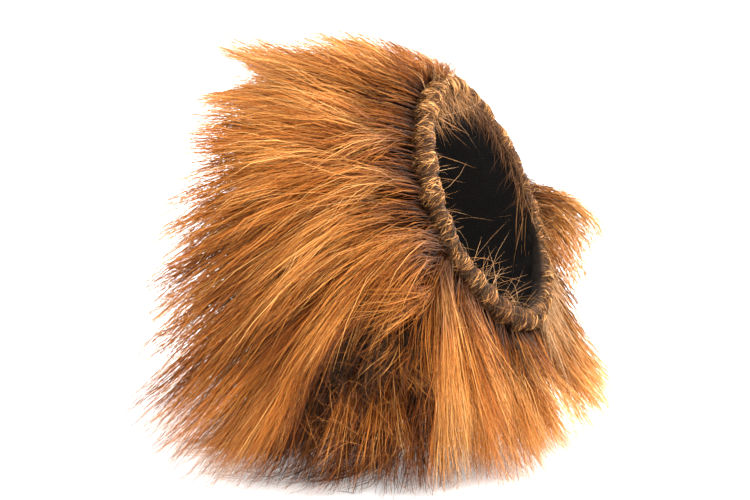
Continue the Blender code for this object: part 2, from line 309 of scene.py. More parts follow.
# the far side, rear and underside: rows round the tube. Each of "lengths", "lifts" and "sags"
# holds a value for the top, the sides and the underside: the hair's length in metres, the
# angle it leaves the backing at, in degrees, and how far its own weight bends it
fieldColumns = ("station", "count", "lengths", "lifts", "sags")
fieldRows = (
    (0.03, 18, (0.060, 0.076, 0.060), (32.0, 72.0, 104.0), (0.45, 1.10, 0.30)),
    (0.20, 18, (0.066, 0.076, 0.064), (30.0, 62.0, 84.0), (0.45, 1.20, 0.30)),
    (0.40, 19, (0.070, 0.076, 0.066), (28.0, 54.0, 64.0), (0.45, 1.30, 0.30)),
    (0.60, 20, (0.072, 0.076, 0.070), (27.0, 50.0, 50.0), (0.45, 1.40, 0.30)),
    (0.80, 20, (0.070, 0.072, 0.072), (26.0, 44.0, 40.0), (0.45, 1.50, 0.30)),
    (0.97, 20, (0.066, 0.066, 0.072), (24.0, 36.0, 30.0), (0.45, 1.50, 0.30)),
)

# the far side's tufts that show past the face opening: the root's angle in degrees and
# station, the middle and the tip in the photo's pixels, and how much further off than the
# root the tip lies, in metres
farColumns = ("angle", "station", "middleX", "middleY", "tipX", "tipY", "further", "clump")
farLocks = (
    (24, 0.04, 432, 66, 400, 58, 0.030, 0.50),
    (44, 0.04, 468, 112, 456, 128, 0.045, 0.40),
    (62, 0.04, 488, 150, 486, 176, 0.050, 0.40),
    (80, 0.03, 504, 196, 504, 220, 0.045, 0.40),
    (95, 0.02, 576, 196, 620, 252, 0.006, 0.60),
    (104, 0.03, 574, 222, 612, 284, 0.008, 0.30),
    (111, 0.04, 546, 254, 556, 300, 0.004, 0.50),
    (118, 0.04, 544, 294, 560, 346, 0.002, 0.50),
    (127, 0.04, 574, 324, 628, 382, 0.000, 0.40),
    (136, 0.05, 578, 350, 622, 406, 0.000, 0.40),
    (147, 0.05, 566, 366, 606, 420, -0.004, 0.40),
    (158, 0.04, 544, 380, 566, 426, -0.010, 0.60),
    (172, 0.04, 530, 388, 548, 430, -0.012, 0.60),
)

# the coat: its roots, locks, tufts, waves, strays and parting. Sways, pulls and reaches are
# shares of a hair's length, heights, depths, widths and rooms are metres, tones run from 0 for
# the palest hair to 1 for the darkest, and the three values of droop are degrees
pile = {
    "hairs": 23100,
    "rootSteps": (0.7548776662, 0.5698402910),
    "rootSpan": 1.02,
    "rootFront": -0.03,
    "rootScatter": 0.004,
    "nearShare": 0.60,
    "width": 0.00029,
    "farWidth": 0.00034,
    "endsShare": 0.06,
    "widthUneven": 0.40,
    "rootHeight": 0.0012,
    "blendReach": 0.012,
    "locks": 520,
    "lockPull": 0.60,
    "looseShare": 0.30,
    "loosePull": 0.12,
    "lockRoots": 0.35,
    "lockGather": 0.45,
    "lockSway": 0.105,
    "lockLift": 0.085,
    "lockLength": 0.13,
    "lockLengths": (-0.2, 0.16),
    "lockKinds": 7,
    "lockApart": 0.05,
    "tuftSize": 7,
    "tuftPull": 0.38,
    "tuftPulls": (0.2, 1.5),
    "tuftLoose": 0.3,
    "tuftSway": 0.072,
    "hairSway": 0.038,
    "hairMean": 1.05,
    "hairLength": 0.14,
    "hairLengths": (-0.40, 0.20),
    "waveHeight": 0.0032,
    "waveLength": 0.055,
    "wavePaces": (0.7, 1.5),
    "matDepth": 0.017,
    "matHeight": 0.04,
    "matLeast": 0.15,
    "clearance": 0.0016,
    "lockTone": 0.35,
    "tuftTone": 0.30,
    "hairTone": 0.35,
    # painted shade: edgeShade darkens hairs round the partings, mattedShade gives matted hairs the darkest
    # tone, and floorLessShade makes that less dark on the floor
    "edgeReach": 1.25,
    "edgeShade": 0.25,
    "mattedShade": 1.0,
    "floorLessShade": 0.42,
    "mattedUneven": 0.5,
    # painted light: farLight pales the far side's hairs by the opening, topLight the crown, and lowLight
    # the near underside
    "farLight": 0.36,
    "farFrom": 0.3,
    "farUntil": 0.5,
    "lowLight": 0.14,
    "lowFrom": -2.2,
    "topLight": 0.20,
    "strayShare": 0.16,
    "strayReach": 0.24,
    "strayLeast": 0.10,
    "strayReaches": (0.5, 1.6),
    "strayThin": 0.7,
    "flyShare": 0.05,
    "flyLonger": 0.10,
    "floor": 0.0006,
    "floorPile": 0.0012,
    "steps": 24,
    "floorBend": 0.020,
    "tipHeight": 0.036,
    "middleHeight": 0.005,
    "boxGrow": 0.012,
    "boxRoom": 0.006,
    "topRoom": 0.0145,
    "droop": 46.0,
    "droopAt": 56.0,
    "droopWide": 30.0,
}

# where the near flank's coat is parted, in the photo's pixels: the middle, the two radii, the
# share of the coat's hairs that is parted there, and 1 where they are missing or 0 where they
# are matted down and darkened with painted shade. A hair is on the near flank if it lies no more than
# partingDepth metres behind the target, or on the crown if it rises above the pixel row crownRow
partingColumns = ("x", "y", "wide", "high", "share", "missing")
partings = (
    (384, 354, 40, 32, 0.97, 0),
    (360, 394, 32, 34, 0.96, 0),
    (334, 398, 20, 30, 0.85, 0),
    (340, 440, 40, 26, 0.78, 0),
    (404, 440, 24, 34, 0.85, 0),
    (433, 330, 8, 26, 0.70, 0),
    (213, 74, 24, 19, 0.90, 1),
)
partingDepth = 0.01
crownRow = 90


def roundBlend(values, angle):
    # side value, moved to the top's by cos(angle) above and to the underside's by -cos below
    top, side, under = values
    upright = np.cos(angle)
    return side + (top - side) * np.maximum(0, upright) + (under - side) * np.maximum(0, -upright)


# the near flank, where the traced locks' roots and tips are looked up: grids of stations and
# angles over the tube's skin and over the whole mane, each as first, last and how many. The
# mane's skirt reaches the floor over "skirt" radians and narrows by "taper". "depthCost" is how
# many pixels away a point counts for each metre that it lies further from the camera
flank = {
    "skinStations": (-0.1, 1.0, 60),
    "skinAngles": (0.3, -2.7, 160),
    "maneStations": (-0.3, 2.0, 70),
    "maneAngles": (0.15, -2.6, 90),
    "skirt": 1.03,
    "taper": 0.06,
    "depthCost": 250.0,
}


def flankGrid(stations, angles):
    # the stations and the angles of every place on a grid
    return np.meshgrid(np.linspace(*flank[stations]), np.linspace(*flank[angles]), indexing="ij")


def shellGrid(height):
    # the near flank of the whole mane at a height over the tube: an ellipse on top, and below
    # the widest place a skirt that goes straight down to the floor
    station, turn = flankGrid("maneStations", "maneAngles")
    upper = tubePoint(station, np.maximum(turn, -math.pi / 2), height)
    drop = np.clip((-turn - math.pi / 2) / flank["skirt"], 0.0, 1.0)
    upper[..., 2] *= 1 - drop
    upper[..., 0] *= 1 - flank["taper"] * drop
    return upper.reshape(-1, 3)


def shownNearest(points, x, y):
    # for each pixel the number of the point that shows nearest to it, and that point's depth
    shownX, shownY, depth = toPixels(points)
    away = np.hypot(shownX[None] - x[:, None], shownY[None] - y[:, None])
    pick = np.argmin(away + flank["depthCost"] * depth[None], axis=1)
    return pick, depth[pick]


def nearestDepth(x, y, height):
    # the depth of the mane's flank at a pixel: the shell point that shows nearest to it
    return shownNearest(shellGrid(height), x, y)[1]


def floorDepth(x, y):
    # where the line of sight through a pixel meets the floor
    start, over = camera["floorFrom"], camera["floorOver"]
    near = fromPixels(x, y, np.full(len(x), start))
    far = fromPixels(x, y, np.full(len(x), start + over))
    share = (pile["floor"] - near[:, 2]) / (far[:, 2] - near[:, 2])
    return start + over * share


def parabolas(root, middle, tip):
    # (1-t)^2*root + 2*t*(1-t)*bend + t^2*tip, with the bend that puts its half way at the middle
    t = hairSteps
    bend = 2 * middle - (root + tip) / 2
    return (1 - t)**2 * root[:, None] + 2 * t * (1 - t) * bend[:, None] + t**2 * tip[:, None]


def tracedPaths(table, columns):
    # each lock is a parabola through its root, middle and tip; also returns the table's columns
    row = tableColumns(columns, table)
    station, angle = flankGrid("skinStations", "skinAngles")
    skin = tubePoint(station, angle, pile["rootHeight"]).reshape(-1, 3)
    pick, rootDepth = shownNearest(skin, row["rootX"], row["rootY"])
    root = skin[pick]
    tipDepth = np.where(row["floor"] > 0, floorDepth(row["tipX"], row["tipY"]),
                        nearestDepth(row["tipX"], row["tipY"], pile["tipHeight"]))
    tip = fromPixels(row["tipX"], row["tipY"], tipDepth)
    middleDepth = (rootDepth + tipDepth) / 2 - row["bulge"] - pile["middleHeight"]
    middle = fromPixels(row["middleX"], row["middleY"], middleDepth)
    return parabolas(root, middle, tip), row


def farPaths(table, columns):
    # parabolas like the traced locks', from a known root on the far side
    row = tableColumns(columns, table)
    root = tubePoint(row["station"], np.radians(row["angle"]), pile["rootHeight"])
    depth = toPixels(root)[2]
    tipDepth = np.minimum(depth + row["further"], floorDepth(row["tipX"], row["tipY"]))
    tip = fromPixels(row["tipX"], row["tipY"], tipDepth)
    middle = fromPixels(row["middleX"], row["middleY"], depth + row["further"] / 2)
    return parabolas(root, middle, tip), row


# how the rows' guides differ by chance: stations, angles (radians), lengths, lifts (degrees),
# how far they lean round the tube, and how tightly their hairs draw together. The droop dies
# away at "droopEnd", and the sag grows from "sagFirst" by "sagMore" along a hair
fieldUneven = {
    "station": 0.04,
    "angle": 0.08,
    "lengths": (0.85, 1.15),
    "lift": 8,
    "around": 0.2,
    "clumps": (0.45, 0.8),
    "droopEnd": 0.6,
    "sagFirst": 0.4,
    "sagMore": 1.2,
    "clear": 0.015,
}


def eitherWay(most, size):
    # chance values from -most to most
    return dice.uniform(-most, most, size)


def fieldGuides():
    # hairs that leave the backing at their lift, bend down with their weight and lie along
    # the floor, stepped along together
    station, angle, length, lift, sag = [], [], [], [], []
    for values in fieldRows:
        row = dict(zip(fieldColumns, values))
        turn = math.tau * (np.arange(row["count"]) + 0.5) / row["count"] - math.pi
        count = row["count"]
        station.append(np.full(count, row["station"]) + eitherWay(fieldUneven["station"], count))
        angle.append(turn + eitherWay(fieldUneven["angle"], count))
        length.append(roundBlend(row["lengths"], turn) * dice.uniform(*fieldUneven["lengths"], count))
        droop = pile["droop"] * np.exp(-((np.degrees(turn) - pile["droopAt"]) / pile["droopWide"])**2)
        droop = droop * max(0.0, 1 - row["station"] / fieldUneven["droopEnd"])
        degrees = roundBlend(row["lifts"], turn) - droop + eitherWay(fieldUneven["lift"], count)
        lift.append(np.radians(degrees))
        sag.append(roundBlend(row["sags"], turn))
    columns = (station, angle, length, lift, sag)
    station, angle, length, lift, sag = (np.concatenate(column) for column in columns)
    ahead, outward, around = tubeFrame(station, angle)
    way = (ahead * np.cos(lift)[:, None] + outward * np.sin(lift)[:, None]
           + around * eitherWay(fieldUneven["around"], len(lift))[:, None])
    spot = tubePoint(station, angle, pile["rootHeight"])
    spots = [spot]
    for i in range(pile["steps"]):
        way = unit(way)
        way[:, 2] -= (sag / pile["steps"]
                      * (fieldUneven["sagFirst"] + fieldUneven["sagMore"] * i / pile["steps"]))
        way = unit(way)
        steepest = np.clip((spot[:, 2] - pile["floor"]) / pile["floorBend"], 0.0, 1.0)
        low = way[:, 2] < -steepest
        level = np.maximum(np.hypot(way[:, 0], way[:, 1]), 1e-6)
        share = np.where(low, np.sqrt(1 - steepest**2) / level, 1.0)
        down = np.where(low, -steepest, way[:, 2])
        way = np.stack((way[:, 0] * share, way[:, 1] * share, down), axis=1)
        spot = spot + way * (length / pile["steps"])[:, None]
        spots.append(spot)
    spots = np.stack(spots, axis=1)
    place = np.array(hairShape["along"]) * pile["steps"]
    whole = np.minimum(place.astype(int), pile["steps"] - 1)
    part = (place - whole)[None, :, None]
    paths = spots[:, whole] * (1 - part) + spots[:, whole + 1] * part
    return paths, dice.uniform(*fieldUneven["clumps"], len(length))


def nearest(points, centres, block=2000):
    # for each point the number of the nearest centre, worked out in blocks to save memory
    found = np.empty(len(points), int)
    square = (centres**2).sum(1)
    for start in range(0, len(points), block):
        part = points[start:start + block]
        found[start:start + block] = np.argmin(square[None] - 2 * part @ centres.T, axis=1)
    return found


# the tube's sections as keepOutside sees them: first and last station and how many, how far
# from a section's plane a point may lie, and the least share of the radius that is scaled up
sections = {
    "stations": (-0.1, 1.6, 60),
    "reach": 0.004,
    "leastRadius": 0.3,
}


def keepOutside(paths, height):
    # points that fall inside the tube are moved out along its section's own radius. The
    # section is found from how far back the point lies
    stations = np.linspace(*sections["stations"])
    lean = np.radians(tubeValue("lean", stations))
    centre = np.stack((0 * lean, tubeValue("back", stations), tubeValue("height", stations)), axis=1)
    forward = np.stack((0 * lean, np.cos(lean), -np.sin(lean)), axis=1)
    flat = paths.reshape(-1, 3)
    gap = flat @ forward.T - (centre * forward).sum(1)[None]
    pick = np.argmin(np.abs(gap), axis=1)
    station = stations[pick]
    up = np.stack((0 * lean, np.sin(lean), np.cos(lean)), axis=1)[pick]
    reach = flat - centre[pick]
    x, z = reach[:, 0], (reach * up).sum(1)
    wide = tubeValue("halfWidth", station) + height
    high = tubeValue("halfHeight", station) + height
    size = np.sqrt((x / wide)**2 + (z / high)**2)
    inside = (size < 1.0) & (np.abs(gap[np.arange(len(flat)), pick]) < sections["reach"])
    grow = np.where(inside, 1.0 / np.maximum(size, sections["leastRadius"]) - 1.0, 0.0)
    moved = flat + grow[:, None] * (x[:, None] * np.array((1.0, 0.0, 0.0)) + z[:, None] * up)
    return moved.reshape(paths.shape)


def guideBends(root, guides):
    # each root copies the bends of the four nearest guides, weighted exp(-(distance/reach)^2);
    # also returns the number of the nearest one
    away = np.sqrt(((root[:, None] - guides[None, :, 0])**2).sum(-1))
    weight = np.exp(-(away / pile["blendReach"])**2) + 1e-9 / (away + 1e-4)
    weight *= away <= np.partition(away, 3, axis=1)[:, 3:4]
    weight /= weight.sum(1, keepdims=True)
    bends = guides - guides[:, :1]
    return np.einsum("hg,gpc->hpc", weight, bends), np.argmin(away, axis=1)


def fitBox(paths):
    # a hair that would leave the solids' box by more than the room given is drawn back to its
    # root; downwards the floor holds it
    low, high = np.array(solidsBox)
    room = (high - low) * pile["boxGrow"] + pile["boxRoom"]
    room[2] = pile["topRoom"]
    root = paths[:, :1]
    reach = paths - root
    with np.errstate(divide="ignore", invalid="ignore"):
        above = np.where(reach > 1e-6, (high + room - root) / reach, 9.0)
        below = np.where(reach < -1e-6, (low - room - root) / reach, 9.0)
    below[..., 2] = 9.0
    share = np.minimum(above, below).reshape(len(paths), -1).min(1)
    share = np.minimum(share, 1.0)[:, None, None]
    return root + reach * share


def aboveFloor(paths, lie=0.0):
    # no point lies lower than the floor, plus what the hair lies on there
    paths[..., 2] = np.maximum(paths[..., 2], pile["floor"] + lie)
    return paths


def partingShare(paths, grow, missing):
    # for each hair of the near flank, the share of the parting that it crosses, or 0, tested at
    # its points and halfway between them. "grow" widens the partings
    spots = np.concatenate((paths[:, 1:], (paths[:, 1:] + paths[:, :-1]) / 2), axis=1)
    x, y, depth = toPixels(spots.reshape(-1, 3))
    x, y = x.reshape(len(paths), -1), y.reshape(len(paths), -1)
    depth = depth.reshape(len(paths), -1).mean(1)
    near = (depth < camera["distance"] + partingDepth) | (y.min(1) < crownRow)
    share = np.zeros(len(paths))
    for values in partings:
        place = dict(zip(partingColumns, values))
        if place["missing"] == missing:
            away = ((x - place["x"]) / place["wide"])**2 + ((y - place["y"]) / place["high"])**2
            share = np.maximum(share, (away < grow**2).any(1) * place["share"])
    return share * near


def joinGuides():
    # the traced and the far locks, and those of the rows that stand clear of them
    traced, row = tracedPaths(tracedLocks, tracedColumns)
    far, farRow = farPaths(farLocks, farColumns)
    field, fieldClump = fieldGuides()
    drawn = np.concatenate((traced, far))
    away = np.sqrt(((field[:, None, 0] - drawn[None, :, 0])**2).sum(-1)).min(1)
    clear = away > fieldUneven["clear"]
    print("guides", len(drawn), "drawn and", int(clear.sum()), "from the rows")
    clump = np.concatenate((row["clump"], farRow["clump"], fieldClump[clear]))
    return np.concatenate((drawn, field[clear])), clump


def spreadRoots(count):
    # stations and angles by steps of two irrational numbers, closer on the near side and
    # towards both hems
    number = np.arange(count)
    stationStep, angleStep = pile["rootSteps"]
    station = (0.5 + number * stationStep) % 1.0
    station = station - pile["endsShare"] * np.sin(math.tau * station)
    station = station * pile["rootSpan"] + pile["rootFront"] + dice.normal(0, pile["rootScatter"], count)
    spread = (0.5 + number * angleStep) % 1.0
    near = pile["nearShare"]
    return station, math.pi * np.where(spread < near, -spread / near, (spread - near) / (1 - near))


def lockBends(heads, station, angle, root, guides):
    # a lock bends as the guides round its leading hair do, swayed and lengthened by chance
    bend, guide = guideBends(root[heads], guides)
    size = np.linalg.norm(bend[:, -1], axis=1)[:, None, None]
    outward, around = tubeFrame(station[heads], angle[heads])[1:]
    sway = (around * dice.normal(0, pile["lockSway"], (len(heads), 1))
            + outward * dice.normal(0, pile["lockLift"], (len(heads), 1)))
    longer = dice.normal(0, pile["lockLength"], (len(heads), 1, 1)).clip(*pile["lockLengths"])
    bend = bend * (1 + longer)
    bend += sway[:, None] * size * hairSteps**1.4
    return bend, guide


def joinTufts(paths, root, lock, loose):
    # hairs of one lock that stand close share a wave, a sway and a leader that they lean to;
    # "apart" keeps neighbouring locks from sharing a tuft
    leaders = np.arange(0, len(paths), pile["tuftSize"])
    tufts = (len(leaders), 1, 1)
    apart = (lock % pile["lockKinds"])[:, None] * pile["lockApart"]
    tuft = nearest(root + apart, root[leaders] + apart[leaders])
    t = hairSteps
    size = np.linalg.norm(paths[:, -1] - paths[:, 0], axis=1)[:, None, None]
    turn = dice.uniform(0, math.tau, tufts)[tuft]
    pace = dice.uniform(*pile["wavePaces"], tufts)[tuft]
    tangent = unit(np.gradient(paths, axis=1))
    sideways = unit(np.cross(tangent, dice.normal(size=(len(leaders), 1, 3))[tuft]))
    wave = np.sin(math.tau * pace * t * size / pile["waveLength"] + turn) - np.sin(turn)
    paths += sideways * wave * pile["waveHeight"] * t
    paths += dice.normal(0, pile["tuftSway"], (len(leaders), 1, 3))[tuft] * size * t**1.4
    strength = pile["tuftPull"] * dice.uniform(*pile["tuftPulls"], (len(paths), 1, 1))
    strength *= np.where(loose, pile["tuftLoose"], 1.0)
    paths += (paths[leaders[tuft]] - paths) * strength * t**1.3
    return tuft, size


def matDown(paths, matted):
    # matted hairs sink away from the camera, less where they lie close to the floor
    away = -cameraAxes()[2] * np.array((1.0, 1.0, 0.0))
    depth = pile["matDepth"] * np.clip(paths[..., 2:] / pile["matHeight"], pile["matLeast"], 1.0)
    return paths + away * matted[:, None, None] * depth * hairSteps**0.7


def paintShadeAndLight(tone, paths, station, angle, matted):
    # painted shade: darker round a parting and darkest in it; painted light: paler on the far side, on top
    # and low down
    count = len(tone)
    tone = tone + partingShare(paths, pile["edgeReach"], 0) * pile["edgeShade"]
    # painted shade on the matted hairs, less dark where their tips lie on the floor
    onFloor = paths[:, -1, 2] < pile["floorBend"]
    ground = pile["mattedShade"] - pile["floorLessShade"] * onFloor + pile["mattedUneven"] * dice.random(count)
    tone = np.where(matted, ground, tone)
    # painted light on the far side, on the crown and low on the near underside
    tone -= pile["farLight"] * ((angle > pile["farFrom"]) & (station < pile["farUntil"]))
    tone -= pile["topLight"] * np.maximum(0, np.cos(angle))**3
    return tone - pile["lowLight"] * (angle < pile["lowFrom"]) * (~matted)


def growPile(count, guides, clump):
    # a hair follows the guides round its root, then its lock, its tuft and its own chance
    station, angle = spreadRoots(count)
    root = tubePoint(station, angle, pile["rootHeight"])
    heads = np.linspace(0, count - 1, pile["locks"]).astype(int)
    lockRoot = root[heads]
    lockBend, lockGuide = lockBends(heads, station, angle, root, guides)
    lock = nearest(root, lockRoot)
    root = root + (lockRoot[lock] - root) * pile["lockRoots"]

    t = hairSteps
    ownBend = guideBends(root, guides)[0]
    flies = dice.random((count, 1, 1)) < pile["flyShare"]
    longer = dice.normal(0, pile["hairLength"], (count, 1, 1)).clip(*pile["hairLengths"])
    length = pile["hairMean"] + longer + pile["flyLonger"] * flies
    gather = (clump[lockGuide[lock]] * pile["lockGather"])[:, None, None] * t**1.1
    beside = (root - lockRoot[lock])[:, None] * (1 - gather)
    together = lockRoot[lock][:, None] + lockBend[lock] * length + beside
    paths = root[:, None] + ownBend * length
    loose = (dice.random((count, 1, 1)) < pile["looseShare"]) | flies
    pull = np.where(loose, pile["loosePull"], pile["lockPull"])
    paths += (together - paths) * pull * np.minimum(1, 3 * t)
    tuft, size = joinTufts(paths, root, lock, loose)

    paths += dice.normal(0, pile["hairSway"], (count, 1, 3)) * size * t**1.3
    stray = (dice.random(count) < pile["strayShare"]) | flies[:, 0, 0]
    aside = unit(dice.normal(size=(count, 1, 3)))
    reach = pile["strayReach"] * (pile["strayLeast"] + stray * dice.uniform(*pile["strayReaches"], count))
    paths += aside * size * t**1.7 * reach[:, None, None]
    matted = dice.random(count) < partingShare(paths, 1.0, 0)
    paths = keepOutside(fitBox(matDown(paths, matted)), pile["clearance"])
    paths = aboveFloor(paths, pile["floorPile"] * dice.random((count, 1)))

    tufts = math.ceil(count / pile["tuftSize"])
    tone = (dice.random(len(heads))[lock] * pile["lockTone"] + dice.random(tufts)[tuft] * pile["tuftTone"]
            + dice.random(count) * pile["hairTone"])
    widths = np.where(angle < 0, pile["width"], pile["farWidth"])
    widths *= np.where(stray, pile["strayThin"], 1.0) * np.where(flies[:, 0, 0], pile["strayThin"], 1.0)
    widths *= 1 + pile["widthUneven"] * dice.uniform(-1, 1, count)
    tone = paintShadeAndLight(tone, paths, station, angle, matted)
    keep = dice.random(count) >= partingShare(paths, 1.0, 1)
    print("matted down", int(matted.sum()), "and parted away", int((~keep).sum()), "hairs")
    return paths[keep], widths[keep], tone[keep], angle[keep]


# short hairs rooted in the seam behind the rolled hem, which hide the backing's front edge.
# "turns" is where on the roll's section they stand, in half turns
collar = {
    "hairs": 1900,
    "turns": (-0.42, 0.10),
    "rootHeight": -0.0003,
    "lengths": (0.25, 0.75),
    "width": 0.00028,
    "widths": (0.6, 1.3),
    "sway": 0.0042,
    "palest": 0.25,
}


def makeCollar(guides, material):
    # each copies the bends of the guides nearest to its root, at a share of their length
    count = collar["hairs"]
    angle = math.tau * dice.random(count)
    turn = math.pi * dice.uniform(*collar["turns"], count)
    root = hemPoint(angle, turn, collar["rootHeight"])
    bends = guideBends(root, guides)[0]
    size = dice.uniform(*collar["lengths"], (count, 1, 1))
    paths = root[:, None] + bends * size
    paths += dice.normal(0, collar["sway"], (count, 1, 3)) * size * hairSteps**1.3
    paths = aboveFloor(fitBox(keepOutside(paths, pile["clearance"])))
    widths = collar["width"] * dice.uniform(*collar["widths"], count)
    tone = collar["palest"] + (1 - collar["palest"]) * dice.random(count)
    piece = hairMesh("seam_fur", fewerPoints(paths, 5), widths, tone, material)


# single locks that lie over the coat, traced like the others: how many hairs each has, how far
# its tips spread in metres, and its tone. The first ones arch over the parting below the hem,
# and the last ones fill the coat out behind its rear edge
overColumns = ("rootX", "rootY", "middleX", "middleY", "tipX", "tipY", "bulge", "floor", "count",
               "spread", "tone")
overLocks = (
    (440, 250, 394, 246, 340, 306, 0.020, 0, 230, 0.0080, 0.34),
    (438, 266, 400, 272, 350, 338, 0.024, 0, 170, 0.0090, 0.42),
    (434, 280, 404, 304, 360, 314, 0.022, 0, 150, 0.0100, 0.38),
    (430, 286, 400, 296, 392, 350, 0.022, 0, 70, 0.0090, 0.40),
    (422, 262, 372, 264, 326, 350, 0.018, 0, 170, 0.0080, 0.38),
    (440, 256, 448, 340, 456, 440, 0.022, 0, 200, 0.0060, 0.26),
    (452, 280, 478, 350, 506, 430, 0.018, 0, 170, 0.0070, 0.34),
    (446, 280, 430, 330, 436, 400, 0.018, 0, 110, 0.0080, 0.42),
    (404, 326, 392, 344, 362, 366, 0.014, 0, 40, 0.0060, 0.36),
    (418, 330, 412, 352, 392, 376, 0.014, 0, 36, 0.0070, 0.40),
    (396, 340, 406, 366, 430, 384, 0.014, 0, 40, 0.0060, 0.36),
    (396, 350, 396, 412, 404, 458, 0.010, 0, 46, 0.0050, 0.36),
    (380, 350, 374, 420, 364, 470, 0.010, 0, 40, 0.0050, 0.40),
    (356, 350, 344, 410, 332, 462, 0.010, 0, 46, 0.0060, 0.38),
    (420, 420, 419, 456, 416, 490, 0.002, 1, 100, 0.0060, 0.40),
    (388, 432, 386, 460, 382, 490, 0.000, 1, 110, 0.0070, 0.45),
    (352, 434, 342, 460, 328, 490, 0.000, 1, 120, 0.0075, 0.45),
    (322, 424, 308, 456, 292, 488, 0.000, 1, 120, 0.0075, 0.40),
    (294, 416, 278, 450, 260, 482, 0.002, 1, 90, 0.0070, 0.36),
    (426, 90, 420, 64, 404, 46, 0.004, 0, 50, 0.0050, 0.35),
    (436, 84, 440, 62, 428, 46, 0.002, 0, 40, 0.0040, 0.35),
    (398, 92, 372, 48, 336, 30, 0.006, 0, 60, 0.0070, 0.30),
    (440, 82, 458, 66, 508, 74, 0.000, 0, 12, 0.0025, 0.25),
    (406, 140, 356, 146, 300, 178, 0.016, 0, 90, 0.0080, 0.30),
    (410, 190, 352, 178, 290, 216, 0.020, 0, 120, 0.0090, 0.28),
    (330, 270, 262, 300, 200, 372, 0.016, 0, 120, 0.0100, 0.32),
    (300, 200, 232, 210, 158, 236, 0.014, 0, 70, 0.0070, 0.35),
    # the rear fill locks' pale tone is painted light on hairs that stand in shade
    (276, 150, 240, 160, 196, 190, -0.004, 0, 110, 0.0100, 0.15),
    (272, 190, 224, 210, 172, 244, -0.004, 0, 150, 0.0110, 0.15),
    (270, 220, 216, 248, 166, 290, -0.004, 0, 170, 0.0120, 0.15),
    (270, 250, 214, 292, 162, 340, -0.004, 0, 170, 0.0120, 0.15),
    (270, 280, 216, 330, 160, 388, -0.004, 0, 170, 0.0120, 0.15),
    (272, 310, 222, 366, 164, 424, -0.004, 0, 150, 0.0110, 0.15),
    (300, 318, 266, 366, 220, 436, -0.004, 0, 120, 0.0100, 0.25),
)

# the same for the far side, rooted like its locks
farOverColumns = ("angle", "station", "middleX", "middleY", "tipX", "tipY", "further", "count",
                  "spread", "tone")
farOverLocks = (
    # the pale tones of the tufts round 100 to 150 degrees are painted light shining through them
    (100, 0.03, 568, 194, 606, 240, 0.006, 110, 0.0055, 0.02),
    (106, 0.03, 564, 212, 592, 260, 0.006, 160, 0.0065, 0.05),
    (112, 0.03, 556, 226, 578, 264, 0.006, 120, 0.0060, 0.10),
    (128, 0.04, 562, 334, 608, 376, 0.000, 150, 0.0060, 0.12),
    (136, 0.05, 576, 356, 610, 398, -0.002, 160, 0.0060, 0.12),
    (144, 0.05, 568, 366, 596, 410, -0.004, 140, 0.0060, 0.18),
    (150, 0.05, 574, 378, 606, 412, -0.004, 120, 0.0060, 0.15),
    (8, 0.02, 468, 60, 512, 76, 0.004, 12, 0.0030, 0.25),
    (4, 0.02, 448, 62, 462, 44, 0.002, 12, 0.0030, 0.25),
)

# how a single lock's hairs differ: their roots' spread and their wave's height, in metres, the
# number of waves in a hair, and the ranges of their lengths, widths and tones
singleLock = {
    "rootSpread": 0.0022,
    "waves": 1.1,
    "waveHeight": 0.0018,
    "lengths": (0.75, 1.10),
    "widths": (0.5, 1.1),
    "tones": (-0.20, 0.35),
}


def makeOverLocks(material):
    # hair by hair the lock's own curve, with root and tip spread by chance and a slow wave
    near, nearRow = tracedPaths(overLocks, overColumns)
    far, farRow = farPaths(farOverLocks, farOverColumns)
    guides = np.concatenate((near, far))
    row = {name: np.concatenate((nearRow[name], farRow[name])) for name in ("count", "spread", "tone")}
    number = row["count"].astype(int)
    lock = np.repeat(np.arange(len(number)), number)
    count = len(lock)
    t = hairSteps
    spread = row["spread"][lock][:, None, None]
    root = dice.normal(0, singleLock["rootSpread"], (count, 1, 3))
    paths = guides[lock] + root * (1 - t) + dice.normal(size=(count, 1, 3)) * spread * t**1.2
    size = dice.uniform(*singleLock["lengths"], (count, 1, 1))
    paths = paths[:, :1] + (paths - paths[:, :1]) * size
    side = unit(dice.normal(size=(count, 1, 3)))
    turn = dice.uniform(0, math.tau, (count, 1, 1))
    wave = np.sin(math.tau * singleLock["waves"] * t + turn) - np.sin(turn)
    paths += side * wave * singleLock["waveHeight"] * t
    paths = aboveFloor(fitBox(keepOutside(paths, pile["clearance"])))
    widths = pile["width"] * dice.uniform(*singleLock["widths"], count)
    tone = row["tone"][lock] + dice.uniform(*singleLock["tones"], count)
    piece = hairMesh("surface_locks", paths, widths, tone, material)


# the short undercoat under the coat, near-black partly as the fur's own dark base and partly as painted
# shade deep in the coat. Its hairs are at their full length from the station
# "fullFrom" on, and at the share "shortest" of it at the face hem
undercoat = {
    "hairs": 2900,
    "stations": (-0.02, 1.0),
    "length": 0.017,
    "lengthUneven": 0.35,
    "shortest": 0.35,
    "fullFrom": 0.15,
    "lift": 0.75,
    "aroundUneven": 0.35,
    "width": 0.00050,
    "widths": (0.7, 1.2),
    "curl": 0.30,
    "bendBack": 0.4,
    "bendDown": 0.5,
    "rootDepth": 0.8,
    "clearance": 0.0010,
}


